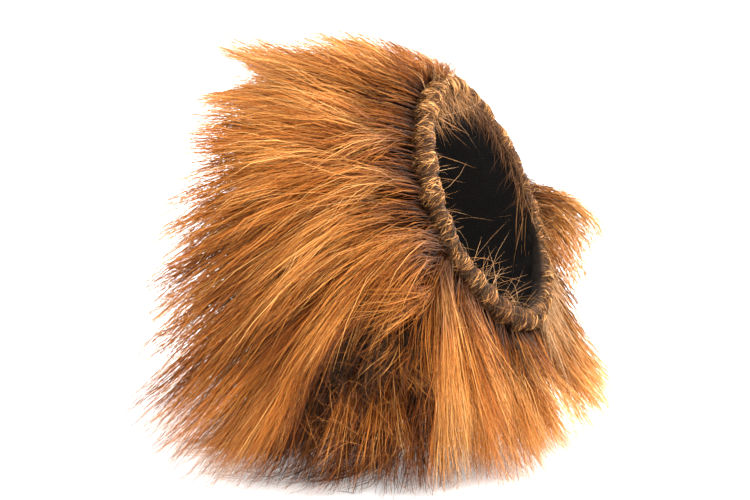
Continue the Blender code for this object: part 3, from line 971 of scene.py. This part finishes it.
def makeUndercoat(material):
    # arcs root + size*(way*t + bend*curl*t^2) that leave the backing at a lift and bend round
    # a chance axis, shorter by the face hem
    count = undercoat["hairs"]
    station = dice.uniform(*undercoat["stations"], count)
    angle = dice.uniform(-math.pi, math.pi, count)
    ahead, outward, around = tubeFrame(station, angle)
    root = tubePoint(station, angle, pile["rootHeight"] * undercoat["rootDepth"])
    way = unit(ahead * (1 - undercoat["lift"]) + outward * undercoat["lift"]
               + around * dice.normal(0, undercoat["aroundUneven"], (count, 1)))
    bend = unit(np.cross(way, dice.normal(size=(count, 3)))) + ahead * undercoat["bendBack"]
    bend[:, 2] -= undercoat["bendDown"]
    t = np.linspace(0, 1, 4)[None, :, None]
    size = undercoat["length"] * (1 + undercoat["lengthUneven"] * dice.uniform(-1, 1, (count, 1, 1)))
    shortest = undercoat["shortest"]
    size *= np.clip(shortest + station / undercoat["fullFrom"], shortest, 1.0)[:, None, None]
    paths = root[:, None] + size * (way[:, None] * t + bend[:, None] * undercoat["curl"] * t**2)
    paths = aboveFloor(keepOutside(fitBox(paths), undercoat["clearance"]))
    widths = undercoat["width"] * dice.uniform(*undercoat["widths"], count)
    ground = hairMesh("dark_underfur", paths, widths, dice.random(count), material)


# the loose fibres tangled in the partings' matted hair. "spread" is how far over a parting they
# lie, in shares of its radii, and "furthest" how many spreads away the last of them are
tangles = {
    "hairs": 320,
    "spread": 0.7,
    "furthest": 1.7,
    "down": 0.9,
    "length": 0.026,
    "lengths": (0.4, 1.3),
    "width": 0.00018,
    "widths": (0.7, 1.2),
    "height": 0.030,
    "depths": (-0.006, 0.012),
    "curl": 0.6,
}


def makeTangles(material):
    # arcs middle + size*(way*t + bend*t^2) that lie every way, but mostly down
    count = tangles["hairs"]
    place = tableColumns(partingColumns, partings)
    area = place["wide"] * place["high"] * (1 - place["missing"])
    chosen = dice.choice(len(area), count, p=area / area.sum())
    furthest = tangles["furthest"]
    aside = tangles["spread"] * dice.normal(size=count).clip(-furthest, furthest)
    x = place["x"][chosen] + place["wide"][chosen] * aside
    below = tangles["spread"] * dice.normal(size=count).clip(-furthest, furthest)
    y = place["y"][chosen] + place["high"][chosen] * below
    depth = nearestDepth(x, y, tangles["height"]) + dice.uniform(*tangles["depths"], count)
    middle = fromPixels(x, y, depth)
    way = unit(dice.normal(size=(count, 3)) + np.array((0.0, 0.0, -tangles["down"])))
    bend = dice.normal(0, tangles["curl"], (count, 3))
    t = np.linspace(-0.5, 0.5, 6)[None, :, None]
    size = tangles["length"] * dice.uniform(*tangles["lengths"], (count, 1, 1))
    paths = middle[:, None] + size * (way[:, None] * t + bend[:, None] * t**2)
    paths = aboveFloor(keepOutside(paths, pile["clearance"]))
    widths = tangles["width"] * dice.uniform(*tangles["widths"], count)
    tangle = hairMesh("tangled_fibres", paths, widths, dice.random(count), material)


# the rolled hem round the face opening. Sizes are in metres and "lean" in degrees; "farThin" is
# how much thinner the far side is, and "lowDark" how much darker the pile is below. Its hairs'
# roots and spans go round the section in half turns, and their slants round the hem in radians.
# They are darker in the creases by painted shade, and past the half turns "frontFrom" towards the front
rolledHem = {
    "centre": (0.0, -0.052, 0.124),
    "halfWidth": 0.050,
    "halfHeight": 0.0585,
    "lean": 23.5,
    "radius": 0.0047,
    "farThin": 0.30,
    "gathers": 26,
    "gatherDepth": 0.0016,
    "stepsRound": 416,
    "stepsAcross": 16,
    "hairs": 6000,
    "hairWidth": 0.00025,
    "hairWidths": (0.6, 1.3),
    "hairLeast": 0.00015,
    "hairHeight": 0.0008,
    "hairRoots": (-0.40, 0.55),
    "hairSpans": (0.20, 0.42),
    "hairFan": 0.028,
    "hairSlant": 0.015,
    "hairSlantUneven": 0.034,
    "creaseShade": 0.50,
    "hairDark": 0.75,
    "frontDark": 0.4,
    "frontFrom": 0.35,
    "lowDark": 0.26,
    "lowAt": 0.5,
}


def hemCentre(angle):
    # the opening's ellipse in its own leaning plane, with the way out of it and the way forward
    lean = math.radians(rolledHem["lean"])
    up = np.array((0.0, math.sin(lean), math.cos(lean)))
    forward = np.array((0.0, -math.cos(lean), math.sin(lean)))
    sin, cos = np.sin(angle)[..., None], np.cos(angle)[..., None]
    across = np.array((1.0, 0.0, 0.0))
    wide, high = rolledHem["halfWidth"], rolledHem["halfHeight"]
    spot = np.array(rolledHem["centre"]) + across * wide * sin + up * high * cos
    spot = spot + nearBow(0.0, angle)[..., None] * np.array((0.0, 1.0, 0.0))
    out = unit(across * high * sin + up * wide * cos)
    return spot, out, np.broadcast_to(forward, out.shape)


def gathering(angle):
    # 1 on the crown of a gather and 0 in its crease; the gathers are a little uneven in size
    uneven = angle + 0.06 * np.sin(3 * angle + 0.8) + 0.035 * np.sin(7 * angle + 2.1)
    size = 0.72 + 0.28 * np.sin(5 * angle + 0.4) * np.sin(3 * angle + 1.0)
    return size * np.abs(np.sin(rolledHem["gathers"] / 2 * uneven))**0.7


def hemPoint(angle, turn, height=0.0):
    # a roll: hemCentre + radius*(out*cos(turn) + forward*sin(turn)). Turn 0 is its outer side
    # and a quarter turn its front. The radius swells on the gathers, most at the front
    spot, out, forward = hemCentre(angle)
    swell = rolledHem["gatherDepth"] * gathering(angle) * (0.65 + 0.35 * np.sin(turn))
    sag = 0.0005 * np.sin(5 * angle + 1.0) + 0.0003 * np.sin(11 * angle)
    thin = 1 - rolledHem["farThin"] * np.maximum(0, np.sin(angle))
    radius = (rolledHem["radius"] * thin + swell + sag + height)[..., None]
    return spot + radius * (out * np.cos(turn)[..., None] + forward * np.sin(turn)[..., None])


def makeRoll(material):
    # the roll itself is a closed tube of quads
    rows, columns = rolledHem["stepsRound"], rolledHem["stepsAcross"]
    angle, turn = ringGrid(rows, columns)
    faces = gridFaces(rows, columns, closedRows=True)[:, ::-1]
    roll = newPiece("hem_roll", hemPoint(angle, turn).reshape(-1, 3), faces, material)
    mapGrid(roll, "hair", angle / math.tau, turn / math.tau, faces)
    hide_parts("face_hem")


def makeHemPile(material):
    # short hairs that lie across the roll in arcs, fanned by the gathers, with painted shade in their
    # creases
    count = rolledHem["hairs"]
    t = np.linspace(0.0, 1.0, 4)[None, :]
    at = dice.uniform(0, math.tau, count)[:, None]
    first = dice.uniform(*rolledHem["hairRoots"], count)[:, None] * math.pi
    span = dice.uniform(*rolledHem["hairSpans"], count)[:, None] * math.pi
    slant = (rolledHem["hairFan"] * np.sin(rolledHem["gathers"] * at)
             + dice.normal(rolledHem["hairSlant"], rolledHem["hairSlantUneven"], (count, 1)))
    arc = np.sin(math.pi * (0.15 + 0.75 * t))
    lie = rolledHem["hairLeast"] + rolledHem["hairHeight"] * dice.random((count, 1)) * arc
    paths = hemPoint(at + slant * t, first + span * t, lie)
    widths = rolledHem["hairWidth"] * dice.uniform(*rolledHem["hairWidths"], count)
    low = -np.cos(at[:, 0] - rolledHem["lowAt"])
    # painted shade in the gathers' creases, then tone by chance, darker towards the front and below
    tone = (rolledHem["creaseShade"] * (1 - gathering(at[:, 0]))
            + rolledHem["hairDark"] * dice.random(count)
            + rolledHem["frontDark"] * np.maximum(0, first[:, 0] / math.pi - rolledHem["frontFrom"])
            + rolledHem["lowDark"] * np.maximum(0, low)**2)
    wraps = hairMesh("hem_pile", paths, widths, tone, material)


# loose hairs of the rolled hem: where round the opening they stand, in degrees, and where on
# the roll's section, in half turns; how many, how long, how much they scatter, their tone, and
# how far they hang down instead of standing out
strayColumns = ("from", "to", "turnFrom", "turnTo", "count", "length", "scatter", "tone", "hang")
hemStrays = (
    (-165, -15, 0.60, 0.95, 30, 0.018, 0.75, 0.25, 0.0),
    (-175, 175, 0.15, 0.60, 240, 0.0055, 0.80, 0.55, 0.0),
    (20, 165, -0.30, 0.30, 420, 0.0120, 0.60, 0.40, 0.0),
    (-170, -110, 0.60, 0.95, 60, 0.0110, 0.90, 0.35, 0.0),
    (-25, 35, 0.00, 0.35, 46, 0.0240, 0.55, 0.25, 0.0),
    (15, 100, 0.60, 0.95, 340, 0.0115, 0.40, 0.92, 0.60),
    (84, 132, 0.30, 0.80, 420, 0.0330, 0.22, 0.55, 0.92),
    (125, 176, -0.10, 0.45, 300, 0.0260, 0.30, 0.16, 0.75),
    (122, 172, 0.20, 0.75, 400, 0.0420, 0.22, 0.32, 0.90),
    (-34, 22, 0.50, 0.90, 200, 0.0110, 0.45, 0.60, 0.60),
)

# what the loose hairs share: the width of a free and of a hanging hair, and how they differ
strayHair = {
    "widths": (0.00012, 0.00025),
    "widthShares": (0.7, 1.3),
    "lengths": (0.4, 1.4),
    "tones": (-0.15, 0.25),
    "wayScatter": 0.6,
    "bendScatter": 0.50,
    "bendDown": (0.0, 0.0, -0.15),
    "hangBend": (0.15, -0.10, 0.0),
}


def makeHemStrays(material):
    # each leaves along the roll's own normal, turned by its scatter, and bends at random
    row = tableColumns(strayColumns, hemStrays)
    number = row["count"].astype(int)
    one = {name: np.repeat(column, number) for name, column in row.items()}
    count = int(number.sum())
    angle = np.radians(one["from"] + (one["to"] - one["from"]) * dice.random(count))
    turn = math.pi * (one["turnFrom"] + (one["turnTo"] - one["turnFrom"]) * dice.random(count))
    root = hemPoint(angle, turn)
    hang = one["hang"][:, None]
    way = unit(root - hemCentre(angle)[0]) * (1 - hang) + np.array((0.0, 0.0, -1.0)) * hang
    scatter = one["scatter"][:, None]
    way = unit(way + dice.normal(0, 1, (count, 3)) * scatter * strayHair["wayScatter"])
    bend = dice.normal(0, strayHair["bendScatter"], (count, 3)) * scatter + np.array(strayHair["bendDown"])
    bend += hang * np.array(strayHair["hangBend"])
    size = (one["length"] * dice.uniform(*strayHair["lengths"], count))[:, None, None]
    paths = root[:, None] + size * (way[:, None] * hairSteps + bend[:, None] * hairSteps**2)
    fine, hanging = strayHair["widths"]
    widths = (fine + (hanging - fine) * one["hang"]) * dice.uniform(*strayHair["widthShares"], count)
    tone = one["tone"] + dice.uniform(*strayHair["tones"], count)
    piece = hairMesh("hem_strays", fewerPoints(fitBox(paths), 4), widths, tone, material)


# the knit backing: its grid, its gathers by the face hem, where it starts under the roll, and
# its ribs and courses
knit = {
    "stepsAlong": 22,
    "stepsRound": 260,
    "gathers": 26,
    "gatherDepth": 0.0009,
    "gatherEnd": 0.45,
    "front": -0.14,
    "ribRows": 64,
    "courses": 260,
}


def knitPoint(station, angle):
    # the backing's middle surface with gathers that die away from the face hem
    gather = knit["gatherDepth"] * np.clip(1 - station / knit["gatherEnd"], 0, 1)
    ripple = gather * np.cos(knit["gathers"] * angle + 0.5 * np.sin(3 * angle))
    return tubePoint(station, angle, ripple - 0.25 * knit["gatherDepth"])


def makeKnit(material):
    # an open tube of cloth with its thickness given by Solidify, and a UV map of its angles
    # and stations
    rows, columns = knit["stepsAlong"] + 1, knit["stepsRound"]
    station, angle = np.meshgrid(np.linspace(knit["front"], 1.0, rows),
                                 math.tau * np.arange(columns) / columns, indexing="ij")
    points = knitPoint(station, angle)
    faces = gridFaces(rows, columns)
    cloth = newPiece("knit_backing", points.reshape(-1, 3), faces, material)
    mapGrid(cloth, "cloth", angle / math.tau, station, faces, joined=True)
    wall = cloth.modifiers.new("thickness", "SOLIDIFY")
    wall.thickness = tube["cloth"]
    wall.offset = 0.0
    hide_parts("backing_tube")


# the band at the neck: its section, in metres, its stitches and its tape's weave
neckHem = {
    "thick": 0.0030,
    "long": 0.0098,
    "gap": 0.0004,
    "stepsRound": 312,
    "stepsAcross": 20,
    "stitches": 78,
    "stitchDepth": 0.00035,
    "tapeRows": 9,
    "courses": 300,
}


def makeNeckHem(material):
    # a flat rounded band behind the tube's end, dimpled where its stitches pull it in:
    # a superellipse section carried round the tube's last section
    rows, columns = neckHem["stepsRound"], neckHem["stepsAcross"]
    angle, turn = ringGrid(rows, columns)
    edge = tubePoint(1.0, angle)
    ahead, outward = tubeFrame(1.0, angle)[:2]
    cos, sin = np.cos(turn), np.sin(turn)
    pull = neckHem["stitchDepth"] * np.maximum(0, np.cos(neckHem["stitches"] * angle))**4
    a = np.sign(cos) * np.abs(cos)**0.7 * (neckHem["thick"] / 2 - pull * np.exp(-(sin / 0.35)**2))
    b = np.sign(sin) * np.abs(sin)**0.7 * neckHem["long"] / 2
    middle = edge + ahead * (neckHem["gap"] + neckHem["long"] / 2)
    points = middle + outward * a[..., None] + ahead * b[..., None]
    faces = gridFaces(rows, columns, closedRows=True)
    band = newPiece("neck_band", points.reshape(-1, 3), faces, material)
    mapGrid(band, "tape", angle / math.tau, turn / math.tau, faces)
    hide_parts("neck_hem")


# materials

def newMaterial(name):
    # a material with its own node tree, its nodes and its links
    made = bpy.data.materials.new(name)
    made.use_nodes = True
    return made, made.node_tree.nodes, made.node_tree.links


def setSockets(node, values):
    # each named socket's plain value
    for socket, value in values.items():
        node.inputs[socket].default_value = value


def colourRamp(nodes, stops):
    # straight lines between the colours at the given places from 0 to 1
    ramp = nodes.new("ShaderNodeValToRGB")
    band = ramp.color_ramp
    while len(band.elements) < len(stops):
        band.elements.new(0.5)
    for element, (place, colour) in zip(band.elements, stops):
        element.position = place
        element.color = (*colour, 1.0)
    return ramp


def mixColours(nodes, links, blend, amount, first, second):
    # one Mix node for colours, whose sockets are found by number: 0 is the amount, 6 and 7 the
    # two colours. Each may be given a socket or a plain value
    mix = nodes.new("ShaderNodeMix")
    mix.data_type = "RGBA"
    mix.blend_type = blend
    for socket, value in ((0, amount), (6, first), (7, second)):
        if hasattr(value, "links"):
            links.new(value, mix.inputs[socket])
        else:
            mix.inputs[socket].default_value = value
    return mix.outputs[2]


def scaledValue(nodes, links, source, low, high):
    # 0 to 1 made low to high
    scaled = nodes.new("ShaderNodeMapRange")
    setSockets(scaled, {"To Min": low, "To Max": high})
    links.new(source, scaled.inputs["Value"])
    return scaled.outputs["Result"]


def hairMaterial(name, look):
    # a hair's tone picks its colour from pale to dark; it darkens to the root and pales to the
    # tip, on the coat partly as its own colour and partly as painted shade in the pile and painted light
    # through the tips, and broad soft patches and single hairs differ in brightness
    made, nodes, links = newMaterial(name)
    shader = nodes["Principled BSDF"]
    setSockets(shader, {"Roughness": look["roughness"], "Specular IOR Level": look["specular"],
                        "Specular Tint": (*look["shine"], 1.0)})
    uv = nodes.new("ShaderNodeUVMap")
    uv.uv_map = "hair"
    split = nodes.new("ShaderNodeSeparateXYZ")
    links.new(uv.outputs["UV"], split.inputs[0])
    lock = nodes.new("ShaderNodeAttribute")
    lock.attribute_name = "lock"
    tones = colourRamp(nodes, look["tones"])
    links.new(lock.outputs["Fac"], tones.inputs["Fac"])
    along = colourRamp(nodes, look["along"])
    links.new(split.outputs["Y"], along.inputs["Fac"])
    whole = mixColours(nodes, links, "MULTIPLY", 1.0, tones.outputs["Color"], along.outputs["Color"])
    place = nodes.new("ShaderNodeTexCoord")
    patch = nodes.new("ShaderNodeTexNoise")
    setSockets(patch, {"Scale": look["patchScale"], "Detail": 2.0})
    links.new(place.outputs["Object"], patch.inputs["Vector"])
    bright = nodes.new("ShaderNodeHueSaturation")
    links.new(whole, bright.inputs["Color"])
    each, wide = look["hairUneven"], look["patchUneven"]
    single = scaledValue(nodes, links, split.outputs["X"], 1 - each, 1 + each)
    broad = scaledValue(nodes, links, patch.outputs["Fac"], 1 - wide, 1 + wide)
    both = nodes.new("ShaderNodeMath")
    both.operation = "MULTIPLY"
    links.new(single, both.inputs[0])
    links.new(broad, both.inputs[1])
    links.new(both.outputs[0], bright.inputs["Value"])
    links.new(bright.outputs["Color"], shader.inputs["Base Color"])
    return made


# each look: "tones" from the palest hairs to the darkest, "along" what that is multiplied by
# from root to tip
ginger = {
    "tones": ((0.12, (0.65, 0.33, 0.105)), (0.32, (0.46, 0.164, 0.028)), (0.54, (0.26, 0.067, 0.008)),
              (0.78, (0.060, 0.012, 0.002)), (1.0, (0.008, 0.002, 0.001))),
    # the coat's dark roots are partly the hair's own colour and partly painted shade deep in the pile; its
    # tips above 1 are painted light shining through them
    "along": ((0.0, (0.05, 0.035, 0.028)), (0.18, (0.22, 0.17, 0.13)), (0.50, (0.84, 0.78, 0.72)),
              (1.0, (1.12, 1.18, 1.26))),
    "roughness": 0.48,
    "specular": 0.22,
    "shine": (1.0, 0.74, 0.46),
    "patchScale": 26.0,
    "patchUneven": 0.34,
    "hairUneven": 0.22,
}

# near-black undercoat: partly the fur's own dark base, partly painted shade deep in the coat
darkShadedGround = {
    "tones": ((0.0, (0.022, 0.006, 0.002)), (1.0, (0.006, 0.002, 0.001))),
    "along": ((0.0, (0.3, 0.3, 0.3)), (1.0, (1.4, 1.4, 1.4))),
    "roughness": 0.6,
    "specular": 0.06,
    "shine": (1.0, 0.7, 0.5),
    "patchScale": 60.0,
    "patchUneven": 0.5,
    "hairUneven": 0.6,
}

tangled = {
    "tones": ((0.0, (0.60, 0.24, 0.055)), (0.35, (0.40, 0.110, 0.016)), (0.65, (0.12, 0.028, 0.005)),
              (1.0, (0.03, 0.008, 0.002))),
    "along": ((0.0, (0.4, 0.4, 0.4)), (0.4, (1.0, 1.0, 1.0)), (1.0, (1.2, 1.2, 1.2))),
    "roughness": 0.4,
    "specular": 0.4,
    "shine": (1.0, 0.85, 0.7),
    "patchScale": 60.0,
    "patchUneven": 0.4,
    "hairUneven": 0.4,
}

hemGinger = {
    "tones": ((0.14, (0.92, 0.54, 0.22)), (0.42, (0.58, 0.265, 0.078)), (0.64, (0.13, 0.046, 0.016)),
              (0.88, (0.012, 0.005, 0.003))),
    "along": ((0.0, (0.7, 0.6, 0.5)), (0.5, (1.0, 1.0, 1.0)), (1.0, (0.8, 0.75, 0.7))),
    "roughness": 0.45,
    "specular": 0.18,
    "shine": (1.0, 0.76, 0.50),
    "patchScale": 90.0,
    "patchUneven": 0.50,
    "hairUneven": 0.40,
}

loose = {
    "tones": ((0.0, (0.52, 0.34, 0.19)), (0.4, (0.36, 0.165, 0.055)), (1.0, (0.07, 0.026, 0.010))),
    "along": ((0.0, (0.6, 0.6, 0.6)), (0.4, (1.0, 1.0, 1.0)), (1.0, (1.1, 1.1, 1.1))),
    "roughness": 0.4,
    "specular": 0.15,
    "shine": (1.0, 0.78, 0.55),
    "patchScale": 60.0,
    "patchUneven": 0.3,
    "hairUneven": 0.3,
}


def rollMaterial():
    # dark brown ground of the roll, streaked across by fine noise stretched along the section,
    # and darker on the roll's inner side
    made, nodes, links = newMaterial("rolled fur ground")
    shader = nodes["Principled BSDF"]
    setSockets(shader, {"Roughness": 0.85, "Specular IOR Level": 0.1})
    uv = nodes.new("ShaderNodeUVMap")
    uv.uv_map = "hair"
    stretch = nodes.new("ShaderNodeMapping")
    stretch.inputs["Scale"].default_value = (900.0, 6.0, 1.0)
    links.new(uv.outputs["UV"], stretch.inputs["Vector"])
    streaks = nodes.new("ShaderNodeTexNoise")
    setSockets(streaks, {"Scale": 1.0, "Detail": 3.0})
    links.new(stretch.outputs["Vector"], streaks.inputs["Vector"])
    ramp = colourRamp(nodes, ((0.30, (0.012, 0.006, 0.003)), (0.55, (0.060, 0.030, 0.014)),
                              (0.75, (0.16, 0.085, 0.040))))
    links.new(streaks.outputs["Fac"], ramp.inputs["Fac"])
    split = nodes.new("ShaderNodeSeparateXYZ")
    links.new(uv.outputs["UV"], split.inputs[0])
    inner = colourRamp(nodes, ((0.34, (1.0, 1.0, 1.0)), (0.44, (0.10, 0.10, 0.10)),
                               (0.66, (0.08, 0.08, 0.08)), (0.80, (1.0, 1.0, 1.0))))
    links.new(split.outputs["Y"], inner.inputs["Fac"])
    links.new(mixColours(nodes, links, "MULTIPLY", 1.0, ramp.outputs["Color"], inner.outputs["Color"]),
              shader.inputs["Base Color"])
    return made


def knitMaterial(name, mapName, ribs, courses):
    # near-black knit: ribs round the tube and courses along it, as sines of the map's u and v,
    # with a little fluff, in colour and in bump
    made, nodes, links = newMaterial(name)
    shader = nodes["Principled BSDF"]
    setSockets(shader, {"Roughness": 0.92, "Specular IOR Level": 0.10})
    uv = nodes.new("ShaderNodeUVMap")
    uv.uv_map = mapName
    split = nodes.new("ShaderNodeSeparateXYZ")
    links.new(uv.outputs["UV"], split.inputs[0])
    waves = []
    for axis, count, darkest in (("X", courses, 0.55), ("Y", ribs, 0.35)):
        turn = nodes.new("ShaderNodeMath")
        turn.operation = "MULTIPLY"
        turn.inputs[1].default_value = count * math.tau
        links.new(split.outputs[axis], turn.inputs[0])
        wave = nodes.new("ShaderNodeMath")
        wave.operation = "SINE"
        links.new(turn.outputs[0], wave.inputs[0])
        waves.append(scaledValue(nodes, links, wave.outputs[0], darkest, 1.0))
        waves[-1].node.inputs["From Min"].default_value = -1.0
    place = nodes.new("ShaderNodeTexCoord")
    fluff = nodes.new("ShaderNodeTexNoise")
    setSockets(fluff, {"Scale": 700.0, "Detail": 2.0})
    links.new(place.outputs["Object"], fluff.inputs["Vector"])
    product = fluff.outputs["Fac"]
    for wave in waves:
        both = nodes.new("ShaderNodeMath")
        both.operation = "MULTIPLY"
        links.new(product, both.inputs[0])
        links.new(wave, both.inputs[1])
        product = both.outputs[0]
    ramp = colourRamp(nodes, ((0.0, (0.0006, 0.0005, 0.0004)), (0.6, (0.0055, 0.0038, 0.0028))))
    links.new(product, ramp.inputs["Fac"])
    links.new(ramp.outputs["Color"], shader.inputs["Base Color"])
    bump = nodes.new("ShaderNodeBump")
    setSockets(bump, {"Strength": 0.6, "Distance": 0.0004})
    links.new(product, bump.inputs["Height"])
    links.new(bump.outputs["Normal"], shader.inputs["Normal"])
    return made


# camera, lights and floor

studio = {
    "world": (1.0, 1.0, 1.0),
    "worldStrength": 2.30,
    "sunStrength": 7.7,
    "sunAngle": 20.0,
    "sunFrom": (0.15, -0.40, 1.0),
    "fillPower": 10.0,
    "fillSize": 0.9,
    "fillPlace": (-1.2, -0.7, 0.75),
    "rimPower": 14.0,
    "rimSize": 0.7,
    "rimPlace": (0.9, -0.6, 0.6),
    "floorColour": (0.93, 0.92, 0.91),
    "floorGlow": 0.30,
    "floorGlowColour": (1.0, 0.97, 0.95),
    "floorSide": 6.0,
}


def newLight(name, kind, place, power):
    # a light turned to face the camera's target
    lamp = bpy.data.lights.new(name, kind)
    lamp.energy = power
    made = bpy.data.objects.new(name, lamp)
    made.location = place
    aim = np.array(camera["target"]) - np.array(place)
    tilt = math.atan2(math.hypot(aim[0], aim[1]), -aim[2])
    made.rotation_euler = (tilt, 0.0, math.atan2(-aim[0], aim[1]))
    bpy.context.scene.collection.objects.link(made)
    return lamp


def makeCamera():
    # the focal length that shows the photo's pixels per metre at the target
    eye = bpy.data.cameras.new("camera")
    eye.sensor_width = camera["sensor"]
    eye.lens = camera["pixelsPerMetre"] * camera["distance"] * camera["sensor"] / camera["imageSize"][0]
    eye.clip_start = 0.05
    made = bpy.data.objects.new("camera", eye)
    made.location = np.array(camera["target"]) + cameraAxes()[2] * camera["distance"]
    made.rotation_euler = (math.radians(90 - camera["elevation"]), 0.0, math.radians(camera["azimuth"]))
    bpy.context.scene.collection.objects.link(made)
    bpy.context.scene.camera = made


def makeLights():
    # a broad sun from in front and above, two soft lamps, and a bright even world
    sun = newLight("key", "SUN", studio["sunFrom"], studio["sunStrength"])
    sun.angle = math.radians(studio["sunAngle"])
    newLight("fill", "AREA", studio["fillPlace"], studio["fillPower"]).size = studio["fillSize"]
    newLight("rim", "AREA", studio["rimPlace"], studio["rimPower"]).size = studio["rimSize"]
    world = bpy.data.worlds.new("studio")
    world.use_nodes = True
    setSockets(world.node_tree.nodes["Background"], {"Color": (*studio["world"], 1.0),
                                                     "Strength": studio["worldStrength"]})
    bpy.context.scene.world = world
    bpy.context.scene.view_settings.view_transform = "Standard"


def makeFloor():
    # a wide square that glows a little, so that it shows as white as the photo's
    made = newMaterial("floor")[0]
    setSockets(made.node_tree.nodes["Principled BSDF"], {
        "Base Color": (*studio["floorColour"], 1.0),
        "Roughness": 0.6,
        "Specular IOR Level": 0.2,
        "Emission Strength": studio["floorGlow"],
        "Emission Color": (*studio["floorGlowColour"], 1.0),
    })
    side = studio["floorSide"]
    mesh = bpy.data.meshes.new("floor")
    mesh.from_pydata(((-side, -side, 0), (side, -side, 0), (side, side, 0), (-side, side, 0)), [],
                     [(0, 1, 2, 3)])
    mesh.materials.append(made)
    floor = bpy.data.objects.new("floor", mesh)
    bpy.context.scene.collection.objects.link(floor)


# the coat's pieces: from where to where round the tube, in half turns from the top, and the
# points in a hair, fewer on the far side
sectors = (
    ("crown_fur", -0.2, 0.2, 6),
    ("left_flank_fur", 0.2, 0.6, 5),
    ("left_skirt_fur", 0.6, 1.01, 5),
    ("right_flank_fur", -0.6, -0.2, 6),
    ("right_skirt_fur", -1.01, -0.6, 6),
)


def makePile(guides, clump, material):
    # the coat is five pieces round the tube, each from its own share of the hairs
    paths, widths, tone, angle = growPile(pile["hairs"], guides, clump)
    share = angle / math.pi
    for name, low, high, points in sectors:
        chosen = (share >= low) & (share < high)
        piece = hairMesh(name, fewerPoints(paths[chosen], points), widths[chosen], tone[chosen], material)
        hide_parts("fur_pile")
        print(name, int(chosen.sum()), "hairs")


makeCamera()
makeLights()
makeFloor()
print("studio ready")
guides, clump = joinGuides()
makePile(guides, clump, hairMaterial("ginger pile", ginger))
makeCollar(guides, hairMaterial("seam pile", ginger))
makeOverLocks(hairMaterial("surface pile", ginger))
makeUndercoat(hairMaterial("dark shaded ground", darkShadedGround))
makeTangles(hairMaterial("tangled fibres", tangled))
print("pile ready")
makeRoll(rollMaterial())
makeHemPile(hairMaterial("rolled pile", hemGinger))
makeHemStrays(hairMaterial("loose hairs", loose))
makeKnit(knitMaterial("black knit", "cloth", knit["ribRows"], knit["courses"]))
makeNeckHem(knitMaterial("black tape", "tape", neckHem["tapeRows"], neckHem["courses"]))
print("hems and knit ready")

triangles = {made.name: len(made.data.loops) - 2 * len(made.data.polygons)
             for made in bpy.data.objects if made.type == "MESH"}
print("triangles", sum(triangles.values()), "most in one piece", max(triangles.values()))
